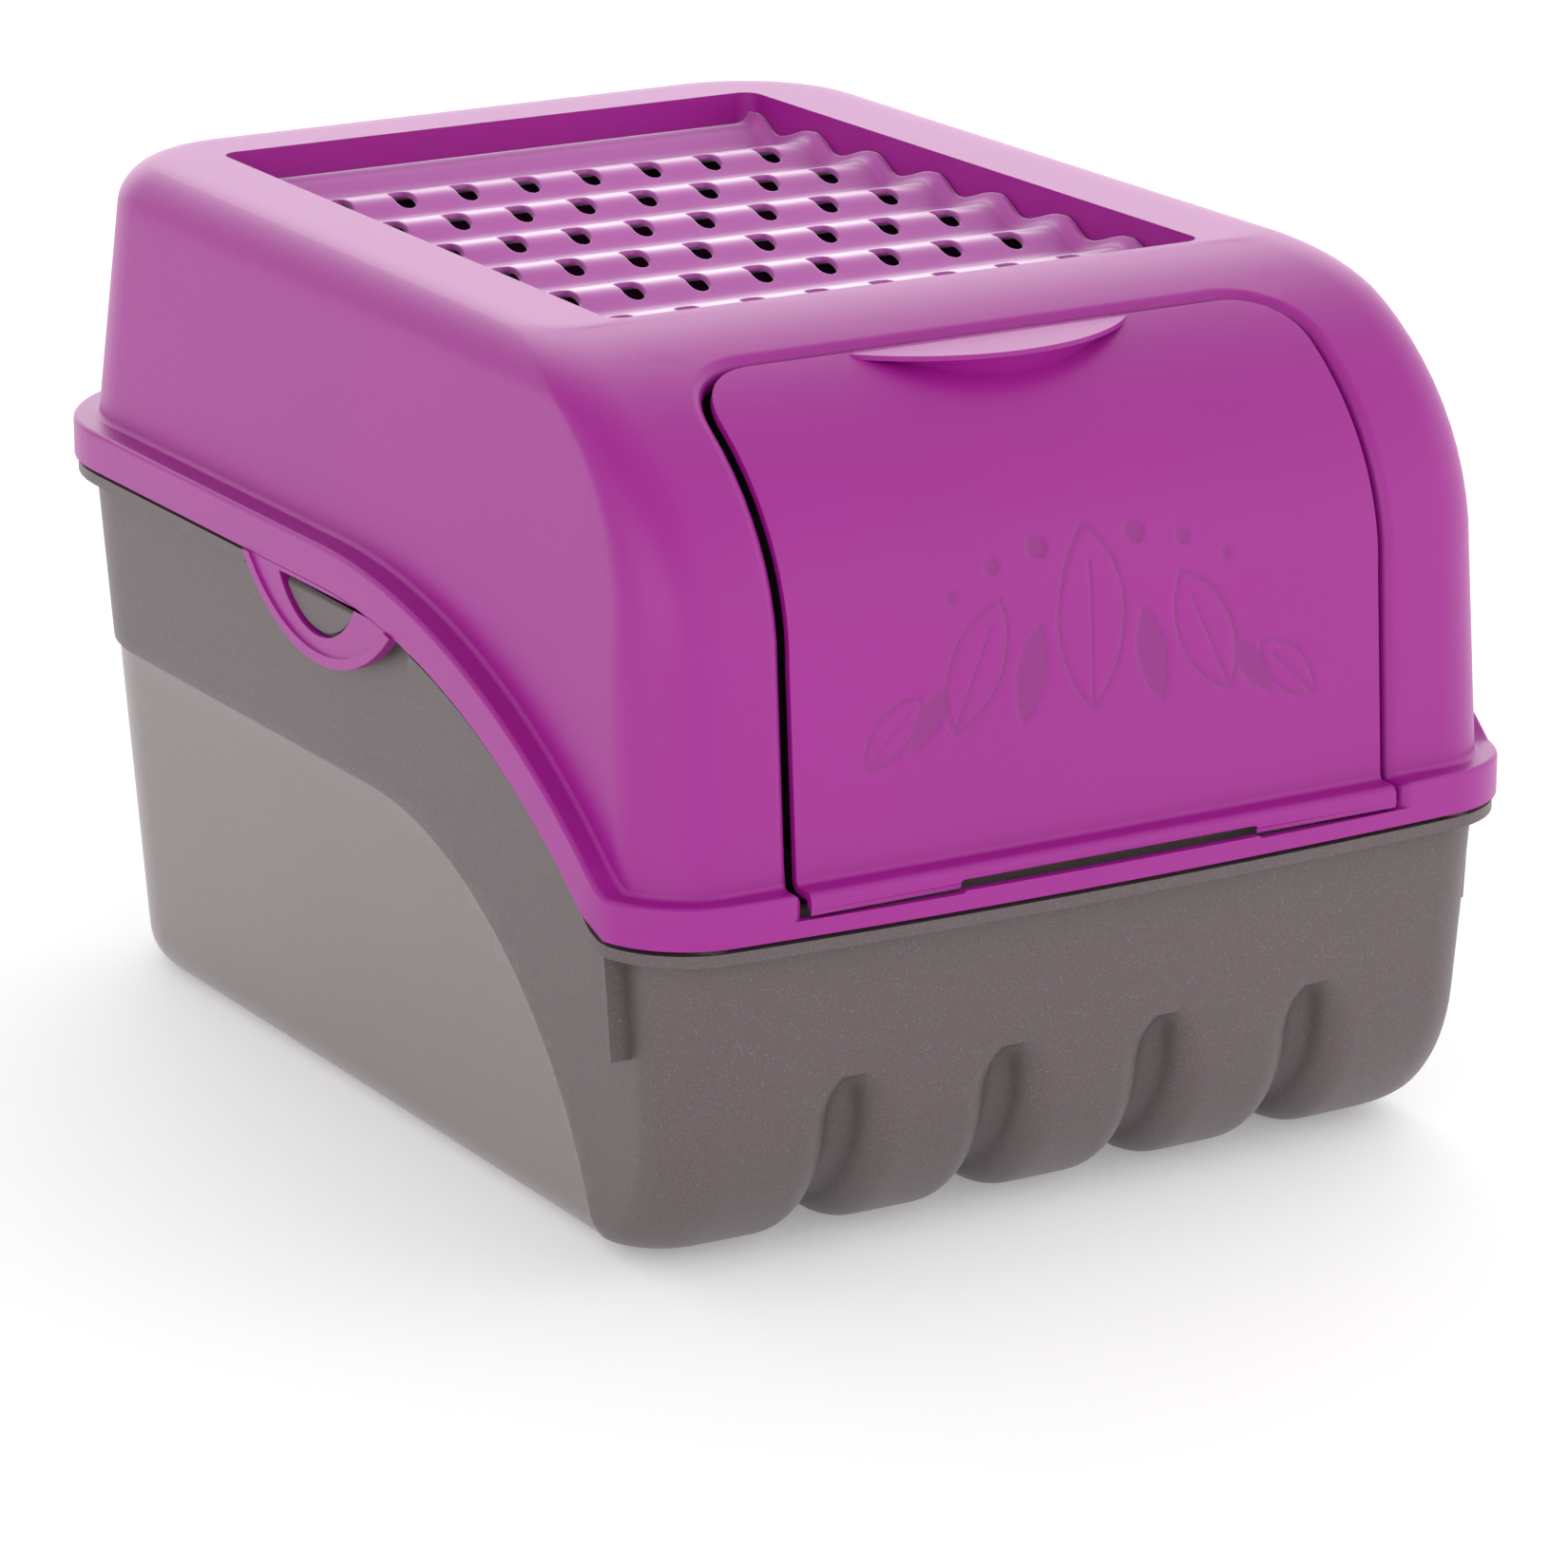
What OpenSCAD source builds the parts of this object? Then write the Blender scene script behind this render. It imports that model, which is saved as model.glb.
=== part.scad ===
// Potato storage bin: a grey-brown tub with a clip-on purple hood.
// The hood carries a vented tray in its top, a front flap on two film hinges
// and a springy latch tab on each side that snaps over a lug on the tub.
// The floor is z = 0, the front faces -Y, and left and right mirror each other.

/* [Overall] */
// Width across the hood's rim
rim_w = 260; // [240:1:300]
// Depth from the rim's front corners to its back
rim_d = 346; // [330:1:400]
// How far the rim bulges forward at its middle
front_bow = 5.6; // [3.6:0.1:6.4]
// Height of the top face
total_h = 222; // [216:0.5:236]
// Thickness of the hood's wall
hood_wall = 2.2; // [1.6:0.1:2.8]
// Thickness of the tub's wall and floor
tub_wall = 2.4; // [1.8:0.1:3]

/* [Rim] */
// Height of the rim's lower edge along the front
rim_front_z = 90.5; // [86:0.5:96]
// Height of the rim's lower edge along the level back half
rim_back_z = 143.5; // [138:0.5:148]
// Distance from the rim's front corners at which the back half ends
rim_level_y = 165; // [155:1:175]
// Radius of the arc that falls from the back level
rim_arc_r = 216; // [205:1:230]
// Radius of the hollow that leads into the front level
rim_hollow_r = 14; // [12:0.5:18]
// Height of the rim band, square to its lower edge
rim_h = 10.6; // [10:0.1:12.5]
// Corner radius of the rim at the front
rim_front_r = 27; // [24:1:32]
// Corner radius of the rim at the back
rim_back_r = 48; // [42:1:56]

/* [Hood] */
// Ledge between the hood's wall and the rim's side face
ledge_w = 7.5; // [6:0.1:8.5]
// Ledge between the hood's wall and the rim's back face
back_ledge_w = 6; // [4.5:0.1:8]
// Ledge from the rim's front corners to the wall's foot
front_ledge_w = 4.2; // [3.8:0.1:5]
// How much wider the hood's wall is at its front foot, each side
foot_flare = 1.2; // [0:0.1:1.8]
// Half width of the hood at the front of its top
top_front_half = 117.3; // [112:0.1:119]
// Half width of the hood at the back of its top
top_back_half = 114; // [111:0.1:118]
// Height at which the front starts to curve back
knee_z = 155; // [150:1:160]
// Forward lean of the lower front wall, in mm for each mm of height
front_lean = 0.063; // [0.04:0.001:0.08]
// Distance from the wall's foot to where the curved front becomes level
curve_depth = 89.8; // [84:0.1:96]
// Rounding along the top edges
top_edge_r = 11; // [9:0.5:12]
// Corner radius of the hood's wall at the front
hood_front_r = 20; // [18:0.5:24]
// Corner radius of the hood's wall at the back
hood_back_r = 41; // [36:1:46]

/* [Vented tray] */
// Width of the tray at its front
tray_front_w = 173; // [160:1:176]
// Width of the tray at its back
tray_back_w = 166; // [160:1:176]
// Distance from the rim's front corners to the tray's front edge
tray_y0 = 89.5; // [88:0.5:94]
// Distance from the rim's front corners to the tray's back edge
tray_y1 = 311.7; // [300:0.5:318]
// Corner radius of the tray
tray_r = 5; // [3:0.5:9]
// Depth of the tray to the valleys of its floor
tray_depth = 14.4; // [12:0.2:20]
// Height of the ridges across the floor
ridge_h = 4.4; // [3:0.2:6]
// Spacing of the ridges
ridge_pitch = 31.1; // [28:0.1:35]
// Length of the steep front flank of a ridge
flank_l = 11; // [9.5:0.5:14]
// Thickness of the tray's floor
grille_t = 1.8; // [1.2:0.1:2.4]
// Vent slots along one ridge
slots_per_ridge = 8; // [4:1:8]
// Spacing of the vent slots
slot_pitch = 18.9; // [15:0.1:20]
// Width of a vent slot
slot_w = 6; // [4:0.5:9]
// Length of a vent slot, front to back
slot_l = 9.5; // [9.2:0.1:11]
// Distance from a ridge's crest forward to the middle of its slots
slot_ahead = 1; // [0:0.1:2]

/* [Front flap] */
// Width of the flap
flap_w = 169.6; // [160:0.2:174]
// Distance from the rim's front corners to the flap's top edge
flap_top_y = 55.5; // [52:0.5:60]
// Corner radius of the flap's top, seen from above
flap_r = 17; // [12:0.5:20]
// Gap all round the flap
flap_gap = 2.4; // [1.8:0.1:3]
// Half length of the open slot at the middle of the hinge line
slot_half = 42.9; // [38:0.1:50]
// Height of the hinge axis over the rim's lower edge
hinge_rise = 6.6; // [6:0.1:7]
// Distance of the hinge axis in front of the rim's front corners
hinge_front = 2.9; // [2.7:0.05:3.1]
// Radius of the film hinge's bead
hinge_bead_r = 0.5; // [0.4:0.05:0.6]
// Width of the finger grip at the flap's top edge
grip_w = 78; // [60:1:90]
// How far the grip stands forward of the flap's top edge
grip_out = 17.5; // [15:0.5:19]
// Thickness of the grip's lip
lip_t = 2; // [1.5:0.1:2.5]
// Overhang of the grip's lip
lip_over = 0.8; // [0.4:0.1:1.2]

/* [Tub] */
// Ledge between the rim's side face and the tub's wall
tub_inset = 6; // [5.5:0.1:6.8]
// Distance from the rim's front corners to the tub's front wall
tub_front_y = 4; // [3.2:0.1:4.4]
// Distance from the tub's back wall to the rim's back face
tub_back_inset = 7.5; // [6.8:0.1:8.5]
// How far the tub's front wall stays below the flap's foot
door_dip = 3; // [2:0.5:5]
// Draft of the walls, in mm for each mm of height
draft = 0.056; // [0.03:0.002:0.07]
// Corner radius of the tub at the front
tub_front_r = 16.5; // [14:0.5:20]
// Corner radius of the tub at the back
tub_back_r = 41; // [36:1:46]
// Rounding between the floor and the front wall
front_edge_r = 38; // [34:1:44]
// Rounding between the floor and the other walls
floor_edge_r = 10; // [8:0.5:14]
// Thickness of the flange
flange_t = 3; // [2:0.1:4]
// Gap between the flange and the rim
flange_gap = 1; // [0.6:0.1:1.2]
// How far the flange stays inside the rim's face
flange_inset = 1.5; // [0.5:0.1:2]
// Step between the upper band and the lower panel
step_in = 1.4; // [0.6:0.1:1.6]
// Height of the step along the back half
step_z = 92.5; // [80:0.5:100]
// Radius of the step's falling arc
step_r = 110; // [100:1:115]
// Distance from the rim's front corners to the arc's centre
step_y = 155; // [150:1:165]

/* [Floor lobes] */
// Number of lobes under the floor
lobe_count = 5; // [3:1:5]
// Spacing of the lobes
lobe_pitch = 45; // [40:0.5:46]
// Width of the flat under each lobe
lobe_flat = 17; // [14:0.5:20]
// Depth of the grooves between the lobes
groove_depth = 9.5; // [8:0.5:12]
// Share of a groove's rounding that lies on the lobe's side
lip_share = 0.65; // [0.5:0.05:0.75]
// Distance from the tub's back wall to the end of the grooves
groove_back = 34; // [30:1:60]

/* [Fins] */
// Thickness of the upright fin on each side
fin_t = 2.4; // [1.6:0.1:3]
// Distance from the rim's front corners to the fin
fin_y = 22.5; // [20:0.5:25]
// Height of the fin's lower end
fin_z = 58; // [50:1:66]
// How far the fin stays inside the rim's side face
fin_inset = 2.9; // [2.5:0.1:3.5]

/* [Latch] */
// Distance from the rim's front corners to the middle of the tab
tab_y = 163; // [160:1:168]
// Radius of the tab's outline
tab_r = 55.3; // [54:0.1:58]
// Height of the tab's lower end
tab_z = 123; // [121:0.5:126]
// Thickness of the tab
tab_t = 2.5; // [2.1:0.1:2.8]
// Width of the bead along the tab's edge
bead_w = 3; // [2:0.1:4]
// Height of the bead over the tab's face
bead_h = 0.8; // [0.4:0.1:1.2]
// Width of the window in the tab
window_w = 42; // [36:0.5:46]
// Height of the window's lower edge
window_z = 130; // [129:0.5:132]
// Gap between the window and the lug
lug_gap = 0.8; // [0.5:0.1:1.2]
// How far the lug stays inside the rim's side face
lug_inset = 1; // [0.6:0.1:1.4]
// Depth of the lug's ramp at its top
lug_ramp = 1.6; // [1:0.1:2]

/* [Hidden] */

// Steps along a corner and along a long arc
corner_n = 7;
arc_n = 16;
// Margin that lets a cut run past a face
past = 4;
// Gap that parts two bodies which rest on each other
seat_gap = 0.3;
// Gap that parts the tab from the rim
tab_gap = 0.15;
// Spare room round the hinge bead
bead_gap = 0.1;
// Gap between the flange's ends and the tab
flange_end_gap = 2;

half_w = rim_w / 2;
mid_y = (rim_d - front_bow) / 2;
foot_z = rim_front_z + rim_h;
side_wide = rim_w + 2 * past;
knee_half = half_w - ledge_w;
knee_y = front_ledge_w + front_lean * (knee_z - foot_z);
curve_y = front_ledge_w + curve_depth;
hood_back_y = rim_d - back_ledge_w;
hood_bow = 1;
tub_bow = 2;
hood_front_top_r = 0.6 * hood_front_r;

// Where the rim's falling arc meets the hollow before the front level
rim_fall = acos((rim_front_z + rim_hollow_r - rim_back_z + rim_arc_r) / (rim_arc_r + rim_hollow_r));
hollow_y = rim_level_y - (rim_arc_r + rim_hollow_r) * sin(rim_fall);

hinge_y = -hinge_front;
hinge_z = rim_front_z + hinge_rise;
lip_z = hinge_z - 1.5;
slot_lip_z = hinge_z - 0.7;
hinge_back = 2;
foot_front_y = hinge_y - 0.4;
slot_back_y = hinge_y + 0.9;
flap_half = flap_w / 2;

grip_r = (pow(grip_w / 2, 2) + pow(grip_out, 2)) / (2 * grip_out);
grip_y = flap_top_y - grip_out + grip_r;

tray_floor_z = total_h - tray_depth;
tray_under_z = tray_floor_z - grille_t;
rise_l = ridge_pitch - flank_l;
ridge_y0 = tray_y0 - 0.3;

groove_side = (lobe_pitch - lobe_flat) / 2;
groove_sum = (pow(groove_side, 2) + pow(groove_depth, 2)) / (2 * groove_depth);
groove_turn = asin(groove_side / groove_sum);
groove_lip_r = groove_sum * lip_share;
groove_top_r = groove_sum - groove_lip_r;
front_turn = 90 - atan(draft);
front_edge_y = tub_front(front_edge_r) + front_edge_r;
groove_end_y = tub_back(0) - groove_back;

tab_c_z = tab_z + tab_r;
tab_half_l = sqrt(pow(tab_r, 2) - pow(tab_c_z - rim_back_z, 2));
window_sag = rim_back_z - 1.5 - window_z;
window_r = (pow(window_w / 2, 2) + pow(window_sag, 2)) / (2 * window_sag);
window_top_z = window_z + window_sag;
lug_face = half_w - lug_inset;

// Points on an arc in a plane
function arc(cx, cy, r, a0, a1, n) = [for (i = [0:n]) let (a = a0 + (a1 - a0) * i / n)
    [cx + r * cos(a), cy + r * sin(a)]];

// The rim's lower edge seen from the side, moved up by up, from the back to the front
function rim_line(up) = concat(
    [[rim_d + past, rim_back_z + up]],
    arc(rim_level_y, rim_back_z - rim_arc_r, rim_arc_r + up, 90, 90 + rim_fall, arc_n),
    arc(hollow_y, rim_front_z + rim_hollow_r, rim_hollow_r - up, 270 + rim_fall, 270, 4),
    [[-front_bow - past, rim_front_z + up]]);

// Rounded plan outline: front and back half widths, front and back lines, radii, forward bow
function plan(hf, hb, y0, y1, rf, rb, bow) = let (
    slope = atan(2 * bow * (hf - rf) / pow(hf, 2)),
    x1 = hf - rf + rf * sin(slope),
    n = 2 * corner_n)
    concat(
        [for (i = [1:n - 1]) let (x = -x1 + 2 * x1 * i / n) [x, y0 - bow * (1 - pow(x / hf, 2))]],
        arc(hf - rf, y0 - bow * (1 - pow(x1 / hf, 2)) + rf * cos(slope), rf, slope - 90, 0, corner_n),
        arc(hb - rb, y1 - rb, rb, 0, 90, corner_n),
        arc(rb - hb, y1 - rb, rb, 90, 180, corner_n),
        arc(rf - hf, y0 - bow * (1 - pow(x1 / hf, 2)) + rf * cos(slope), rf, 180, 270 - slope, corner_n));

// Closed solid through a row of sections with the same number of points
module skin(sections) {
    n = len(sections[0]);
    m = len(sections);
    polyhedron(
        points = [for (section = sections) each section],
        faces = concat(
            [[for (i = [0:n - 1]) i]],
            [for (j = [0:m - 2]) for (i = [0:n - 1]) let (k = (i + 1) % n)
                each [[j * n + i, (j + 1) * n + i, (j + 1) * n + k], [j * n + i, (j + 1) * n + k, j * n + k]]],
            [[for (i = [n - 1:-1:0]) (m - 1) * n + i]]));
}

// Closed solid through a stack of outlines, each given as [height, outline]
module loft(rings) {
    skin([for (ring = rings) [for (p = ring[1]) [p[0], p[1], ring[0]]]]);
}

// Turns a shape drawn in the side view into a slab across the whole width
module across(w = side_wide) {
    rotate([90, 0, 90])
        linear_extrude(w, center = true)
            children();
}

// Slab between two copies of the rim's line
module rim_band(low, high) {
    across()
        polygon(concat(rim_line(low), [for (i = [len(rim_line(high)) - 1:-1:0]) rim_line(high)[i]]));
}

// Everything above the rim's line
module above_rim(up) {
    across()
        polygon(concat(rim_line(up), [[-front_bow - past, total_h + past], [rim_d + past, total_h + past]]));
}

// Prism of the rim's outline, pulled in all round
module rim_prism(inset, z0, z1) {
    translate([0, 0, z0])
        linear_extrude(z1 - z0)
            polygon(plan(half_w - inset, half_w - inset, inset, rim_d - inset,
                         rim_front_r - inset, rim_back_r - inset, front_bow));
}

// Front line, half width and outline of the hood at a height, pulled in by t
function hood_front(z, t) = z <= knee_z
    ? front_ledge_w + front_lean * (z - foot_z) + t
    : curve_y - (curve_y - knee_y - t) * sqrt(max(0, 1 - pow((z - knee_z) / (total_h - t - knee_z), 2)));
function hood_half(z, top) = z <= knee_z
    ? knee_half + foot_flare * (knee_z - z) / (knee_z - foot_z)
    : knee_half + (top - knee_half) * (z - knee_z) / (total_h - knee_z);
function hood_round(z, t) = let (r = top_edge_r - t, dz = z - (total_h - top_edge_r))
    dz <= 0 ? 0 : r - sqrt(max(0, pow(r, 2) - pow(dz, 2)));
function hood_corner(z) = z <= knee_z
    ? hood_front_r
    : hood_front_r + (hood_front_top_r - hood_front_r) * (z - knee_z) / (total_h - knee_z);
function hood_plan(z, t) = let (e = hood_round(z, t) + t)
    plan(hood_half(z, top_front_half) - e, hood_half(z, top_back_half) - e,
         hood_front(z, t), hood_back_y - e, hood_corner(z) - t / 2, hood_back_r - e, hood_bow);

// The hood's outer or inner form as one solid
module hood_form(t, z0) {
    knee_heights = [z0, (foot_z + knee_z) / 2, knee_z];
    curve_heights = [for (i = [1:arc_n]) knee_z + (total_h - t - knee_z) * sin(90 * i / arc_n)];
    loft([for (z = concat(knee_heights, curve_heights)) [z, hood_plan(z, t)]]);
}

// The hood's bare shell above the ledge
module hood_shell() {
    difference() {
        intersection() {
            hood_form(0, foot_z - rim_h);
            above_rim(rim_h - hood_wall);
        }
        hood_form(hood_wall, foot_z - 2 * rim_h);
    }
}

// Tray outline, grown by g
module tray_outline(g) {
    polygon(plan(tray_front_w / 2 + g, tray_back_w / 2 + g, tray_y0 - g, tray_y1 + g, tray_r + g, tray_r + g, 0));
}

// Outline of the flap seen from above, grown by g
module flap_outline(g) {
    polygon(concat(
        [[-flap_half - g, -front_bow - past], [flap_half + g, -front_bow - past]],
        arc(flap_half - flap_r, flap_top_y - flap_r, flap_r + g, 0, 90, corner_n),
        arc(flap_r - flap_half, flap_top_y - flap_r, flap_r + g, 90, 180, corner_n)));
}

// Room left for the flap in the hood, down to the lip under the hinge
module doorway() {
    translate([0, 0, slot_lip_z])
        linear_extrude(total_h)
            flap_outline(flap_gap);
    for (side = [-1, 1])
        translate([side * (slot_half + flap_half + flap_gap) / 2, (flap_top_y - past) / 2 - front_bow, slot_lip_z + 1])
            cube([flap_half + flap_gap - slot_half, flap_top_y + past, 2 * (slot_lip_z + 1 - lip_z)], center = true);
}

// Seat under the film hinges, just behind the rim's front face
module hinge_seat() {
    y0 = hinge_y - 1;
    y1 = hinge_y + hinge_back;
    for (side = [-1, 1])
        translate([side * (slot_half + flap_half) / 2, (y0 + y1) / 2, (rim_front_z + lip_z) / 2])
            cube([flap_half - slot_half, y1 - y0, lip_z - rim_front_z], center = true);
}

// Slanted cut along the lip so that the opened flap clears it
module lip_chamfer() {
    across(2 * (flap_half + flap_gap))
        polygon([[hinge_y - 0.9, lip_z + 0.01], [-front_bow - past, lip_z + 0.01],
                 [-front_bow - past, lip_z - 1], [hinge_y - 2.3, lip_z - 1]]);
}

module hood() {
    color("#9b3290")
    translate([0, -mid_y, 0])
    difference() {
        union() {
            hood_shell();
            // the ledge and the skirt of the rim
            intersection() {
                difference() {
                    rim_prism(0, rim_front_z - past, rim_back_z + 2 * rim_h);
                    hood_form(hood_wall, foot_z - 2 * rim_h);
                }
                rim_band(rim_h - hood_wall, rim_h);
            }
            intersection() {
                difference() {
                    rim_prism(0, rim_front_z - past, rim_back_z + 2 * rim_h);
                    rim_prism(hood_wall, rim_front_z - 2 * past, rim_back_z + 3 * rim_h);
                }
                rim_band(0, rim_h - hood_wall);
            }
            hinge_seat();
            // the tray's side walls
            translate([0, 0, tray_under_z])
                linear_extrude(total_h - hood_wall / 2 - tray_under_z)
                    tray_outline(hood_wall);
        }
        translate([0, 0, tray_under_z - past])
            linear_extrude(tray_depth + grille_t + 2 * past)
                tray_outline(0);
        doorway();
        lip_chamfer();
    }
}

// Height of the tray's floor over its valleys at a distance u behind a crest
function ridge(u) = u < rise_l
    ? ridge_h * (1 + cos(180 * u / rise_l)) / 2
    : ridge_h * (1 - cos(180 * (u - rise_l) / flank_l)) / 2;
function ridge_phase(y) = let (d = y - ridge_y0) d - ridge_pitch * floor(d / ridge_pitch);

module vent_grille() {
    steps = 120;
    ys = [for (i = [0:steps]) tray_y0 + (tray_y1 - tray_y0) * i / steps];
    ridge_count = floor((tray_y1 - ridge_y0 - flank_l) / ridge_pitch);
    color("#b04ba4")
    translate([0, -mid_y, 0])
    difference() {
        intersection() {
            across()
                polygon(concat(
                    [for (y = ys) [y, tray_floor_z + ridge(ridge_phase(y))]],
                    [for (i = [steps:-1:0]) [ys[i], tray_under_z + ridge(ridge_phase(ys[i]))]]));
            translate([0, 0, tray_under_z - past])
                linear_extrude(tray_depth + 2 * past)
                    tray_outline(0);
        }
        for (r = [1:ridge_count], s = [0:slots_per_ridge - 1])
            translate([(s - (slots_per_ridge - 1) / 2) * slot_pitch, ridge_y0 + r * ridge_pitch - slot_ahead,
                       tray_under_z - past])
                linear_extrude(tray_depth + 2 * past) {
                    for (end = [-1, 1])
                        translate([0, end * (slot_l - slot_w) / 2])
                            circle(d = slot_w, $fn = 24);
                    square([slot_w, slot_l - slot_w], center = true);
                }
    }
}

// Plan of the finger grip, grown by g
module grip_plan(g) {
    intersection() {
        translate([0, grip_y])
            circle(grip_r + g, $fn = 180);
        translate([-grip_w, flap_top_y - 2 * grip_out])
            square([2 * grip_w, 2 * grip_out]);
    }
}

module front_flap() {
    grip_top_z = knee_z + (total_h - knee_z)
        * sqrt(1 - pow((curve_y - flap_top_y) / (curve_y - knee_y), 2)) - 0.4;
    grip_low_z = grip_top_z - 0.8 * grip_out;
    foot_l = front_ledge_w + hood_wall;
    color("#a8379b")
    translate([0, -mid_y, 0])
    difference() {
        union() {
            intersection() {
                hood_shell();
                translate([0, 0, foot_z - hood_wall])
                    linear_extrude(total_h)
                        flap_outline(0);
            }
            // the foot that runs forward to the hinge line
            translate([-flap_half, slot_back_y, foot_z - hood_wall])
                cube([flap_w, foot_l - slot_back_y - hood_wall / 2, hood_wall]);
            for (side = [-1, 1])
                translate([side * (slot_half + flap_half) / 2, (foot_front_y + slot_back_y + 1) / 2,
                           (hinge_z + foot_z) / 2])
                    cube([flap_half - slot_half, slot_back_y + 1 - foot_front_y, foot_z - hinge_z], center = true);
            // the finger grip
            difference() {
                union() {
                    translate([0, 0, grip_low_z])
                        linear_extrude(grip_top_z - grip_low_z)
                            grip_plan(0);
                    translate([0, 0, grip_top_z - lip_t])
                        linear_extrude(lip_t)
                            grip_plan(lip_over);
                }
                hood_form(hood_wall, foot_z - 2 * rim_h);
            }
        }
        // the grip's top is flat
        translate([0, 0, grip_top_z])
            linear_extrude(past)
                grip_plan(lip_over);
        // room for the film hinges
        rotate([0, 90, 0])
            translate([-hinge_z, hinge_y, -rim_w / 2])
                cylinder(r = hinge_bead_r + bead_gap, h = rim_w, $fn = 32);
    }
}

module film_hinge(side) {
    strip_t = hinge_bead_r;
    color("#8a2b80")
    translate([0, -mid_y, 0])
    translate([side * (slot_half + flap_half) / 2, hinge_y, 0]) {
        translate([0, 0, hinge_z])
            rotate([0, 90, 0])
                cylinder(r = hinge_bead_r, h = flap_half - slot_half, center = true, $fn = 32);
        translate([0, 0, (lip_z + hinge_z) / 2])
            cube([flap_half - slot_half, strip_t, hinge_z - lip_z], center = true);
    }
}

module film_hinge_left() {
    film_hinge(-1);
}

module film_hinge_right() {
    film_hinge(1);
}

// Side profile of a latch tab, pulled in by g
module tab_profile(g) {
    intersection() {
        translate([tab_y, tab_c_z])
            circle(tab_r - g, $fn = 120);
        polygon(concat(rim_line(-tab_gap), [[-front_bow - past, 0], [rim_d + past, 0]]));
    }
}

// Half-moon of the window, pulled in by g
module window_profile(g) {
    intersection() {
        translate([tab_y + 2, window_z + window_r])
            circle(window_r - g, $fn = 90);
        polygon([[tab_y - window_w, window_z - past], [tab_y + window_w, window_z - past],
                 [tab_y + window_w, window_top_z - g], [tab_y - window_w, window_top_z - g]]);
    }
}

module latch_tab(side) {
    color("#a5409a")
    translate([side * (half_w - tab_t / 2), -mid_y, 0])
    difference() {
        union() {
            across(tab_t)
                tab_profile(0);
            translate([side * bead_h / 2, 0, 0])
                across(tab_t + bead_h)
                    difference() {
                        tab_profile(0);
                        translate([tab_y, tab_c_z])
                            circle(tab_r - bead_w, $fn = 120);
                    }
        }
        across(3 * tab_t)
            window_profile(0);
    }
}

module latch_tab_left() {
    latch_tab(-1);
}

module latch_tab_right() {
    latch_tab(1);
}

// Half width, front line, back line and outline of the tub at a height
function tub_half(z) = half_w - tub_inset - draft * (rim_back_z - rim_h - z);
function tub_front(z) = tub_front_y + draft * (rim_front_z - z);
function tub_back(z) = rim_d - tub_back_inset - draft * (rim_back_z - rim_h - z);
function edge_in(z, r) = z >= r ? 0 : r - sqrt(pow(r, 2) - pow(r - z, 2));
function tub_plan(z, side_t, front_t, z0) = let (
    e = edge_in(z - z0, floor_edge_r - side_t / 2) + side_t,
    f = edge_in(z - z0, front_edge_r - front_t) + front_t)
    plan(tub_half(z) - e, tub_half(z) - e, tub_front(z) + f, tub_back(z) - e,
         tub_front_r - front_t / 2, tub_back_r - e, tub_bow);

// The tub's form as one solid, with its floor at z0
module tub_form(side_t, front_t, z0, z1) {
    rounded = [for (i = [0:arc_n / 2]) front_edge_r * (1 - cos(90 * i / (arc_n / 2)))];
    heights = concat([for (z = rounded) if (z < floor_edge_r) z], [floor_edge_r],
                     [for (z = rounded) if (z > floor_edge_r) z], [z1 - z0]);
    loft([for (z = heights) [z + z0, tub_plan(z + z0, side_t, front_t, z0)]]);
}

// Side view of the lower panel
module panel_profile() {
    translate([step_y, step_z - step_r])
        circle(step_r, $fn = 240);
    translate([step_y, -past])
        square([rim_d, step_z + past]);
}

// Half of a groove's section, across and up from the lobes' lowest line, grown by g
function groove_half(g) = concat(
    [for (i = [0:3]) let (a = groove_turn * i / 3)
        [groove_side - (groove_lip_r - g) * sin(a), groove_lip_r - (groove_lip_r - g) * cos(a)]],
    [for (i = [2:-1:0]) let (a = groove_turn * i / 3)
        [(groove_top_r + g) * sin(a), groove_depth - groove_top_r + (groove_top_r + g) * cos(a)]]);

// Whole section of a groove from right to left, shrunk by k, with its mouth carried below the surface
function groove_section(g, k) = let (h = groove_half(g)) concat(
    [[groove_side * k, -past]],
    [for (p = h) p * k],
    [for (i = [len(h) - 2:-1:0]) [-h[i][0] * k, h[i][1] * k]],
    [[-groove_side * k, -past]]);

// Stations along a groove, each given as [y, z, inward normal's y and z, size]: from its rounded
// back end along the floor, round the front edge and up to its rounded end on the front wall
function groove_stations(x, g) = let (
    l = groove_side + g,
    shares = [0.99, 0.94, 0.82, 0.6, 0.32, 0],
    y0 = front_edge_y - tub_bow * (1 - pow(x / tub_half(0), 2)),
    y1 = y0 - front_edge_r * sin(front_turn),
    z1 = front_edge_r * (1 - cos(front_turn)))
    concat(
        [for (q = shares) [groove_end_y + l * q, 0, 0, 1, sqrt(1 - q * q)]],
        [for (i = [0:8]) let (a = front_turn * i / 8)
            [y0 - front_edge_r * sin(a), front_edge_r * (1 - cos(a)), sin(a), cos(a), 1]],
        [for (i = [4:-1:0]) let (q = shares[i])
            [y1 - l * q * cos(front_turn), z1 + l * q * sin(front_turn),
             sin(front_turn), cos(front_turn), sqrt(1 - q * q)]]);

// One groove between two lobes
module groove(x, g) {
    skin([for (s = groove_stations(x, g)) [for (p = groove_section(g, s[4]))
        [x + p[0], s[0] + p[1] * s[2], s[1] + p[1] * s[3]]]]);
}

module grooves(g) {
    for (i = [0:lobe_count - 2])
        groove((i - (lobe_count - 2) / 2) * lobe_pitch, g);
}

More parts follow.
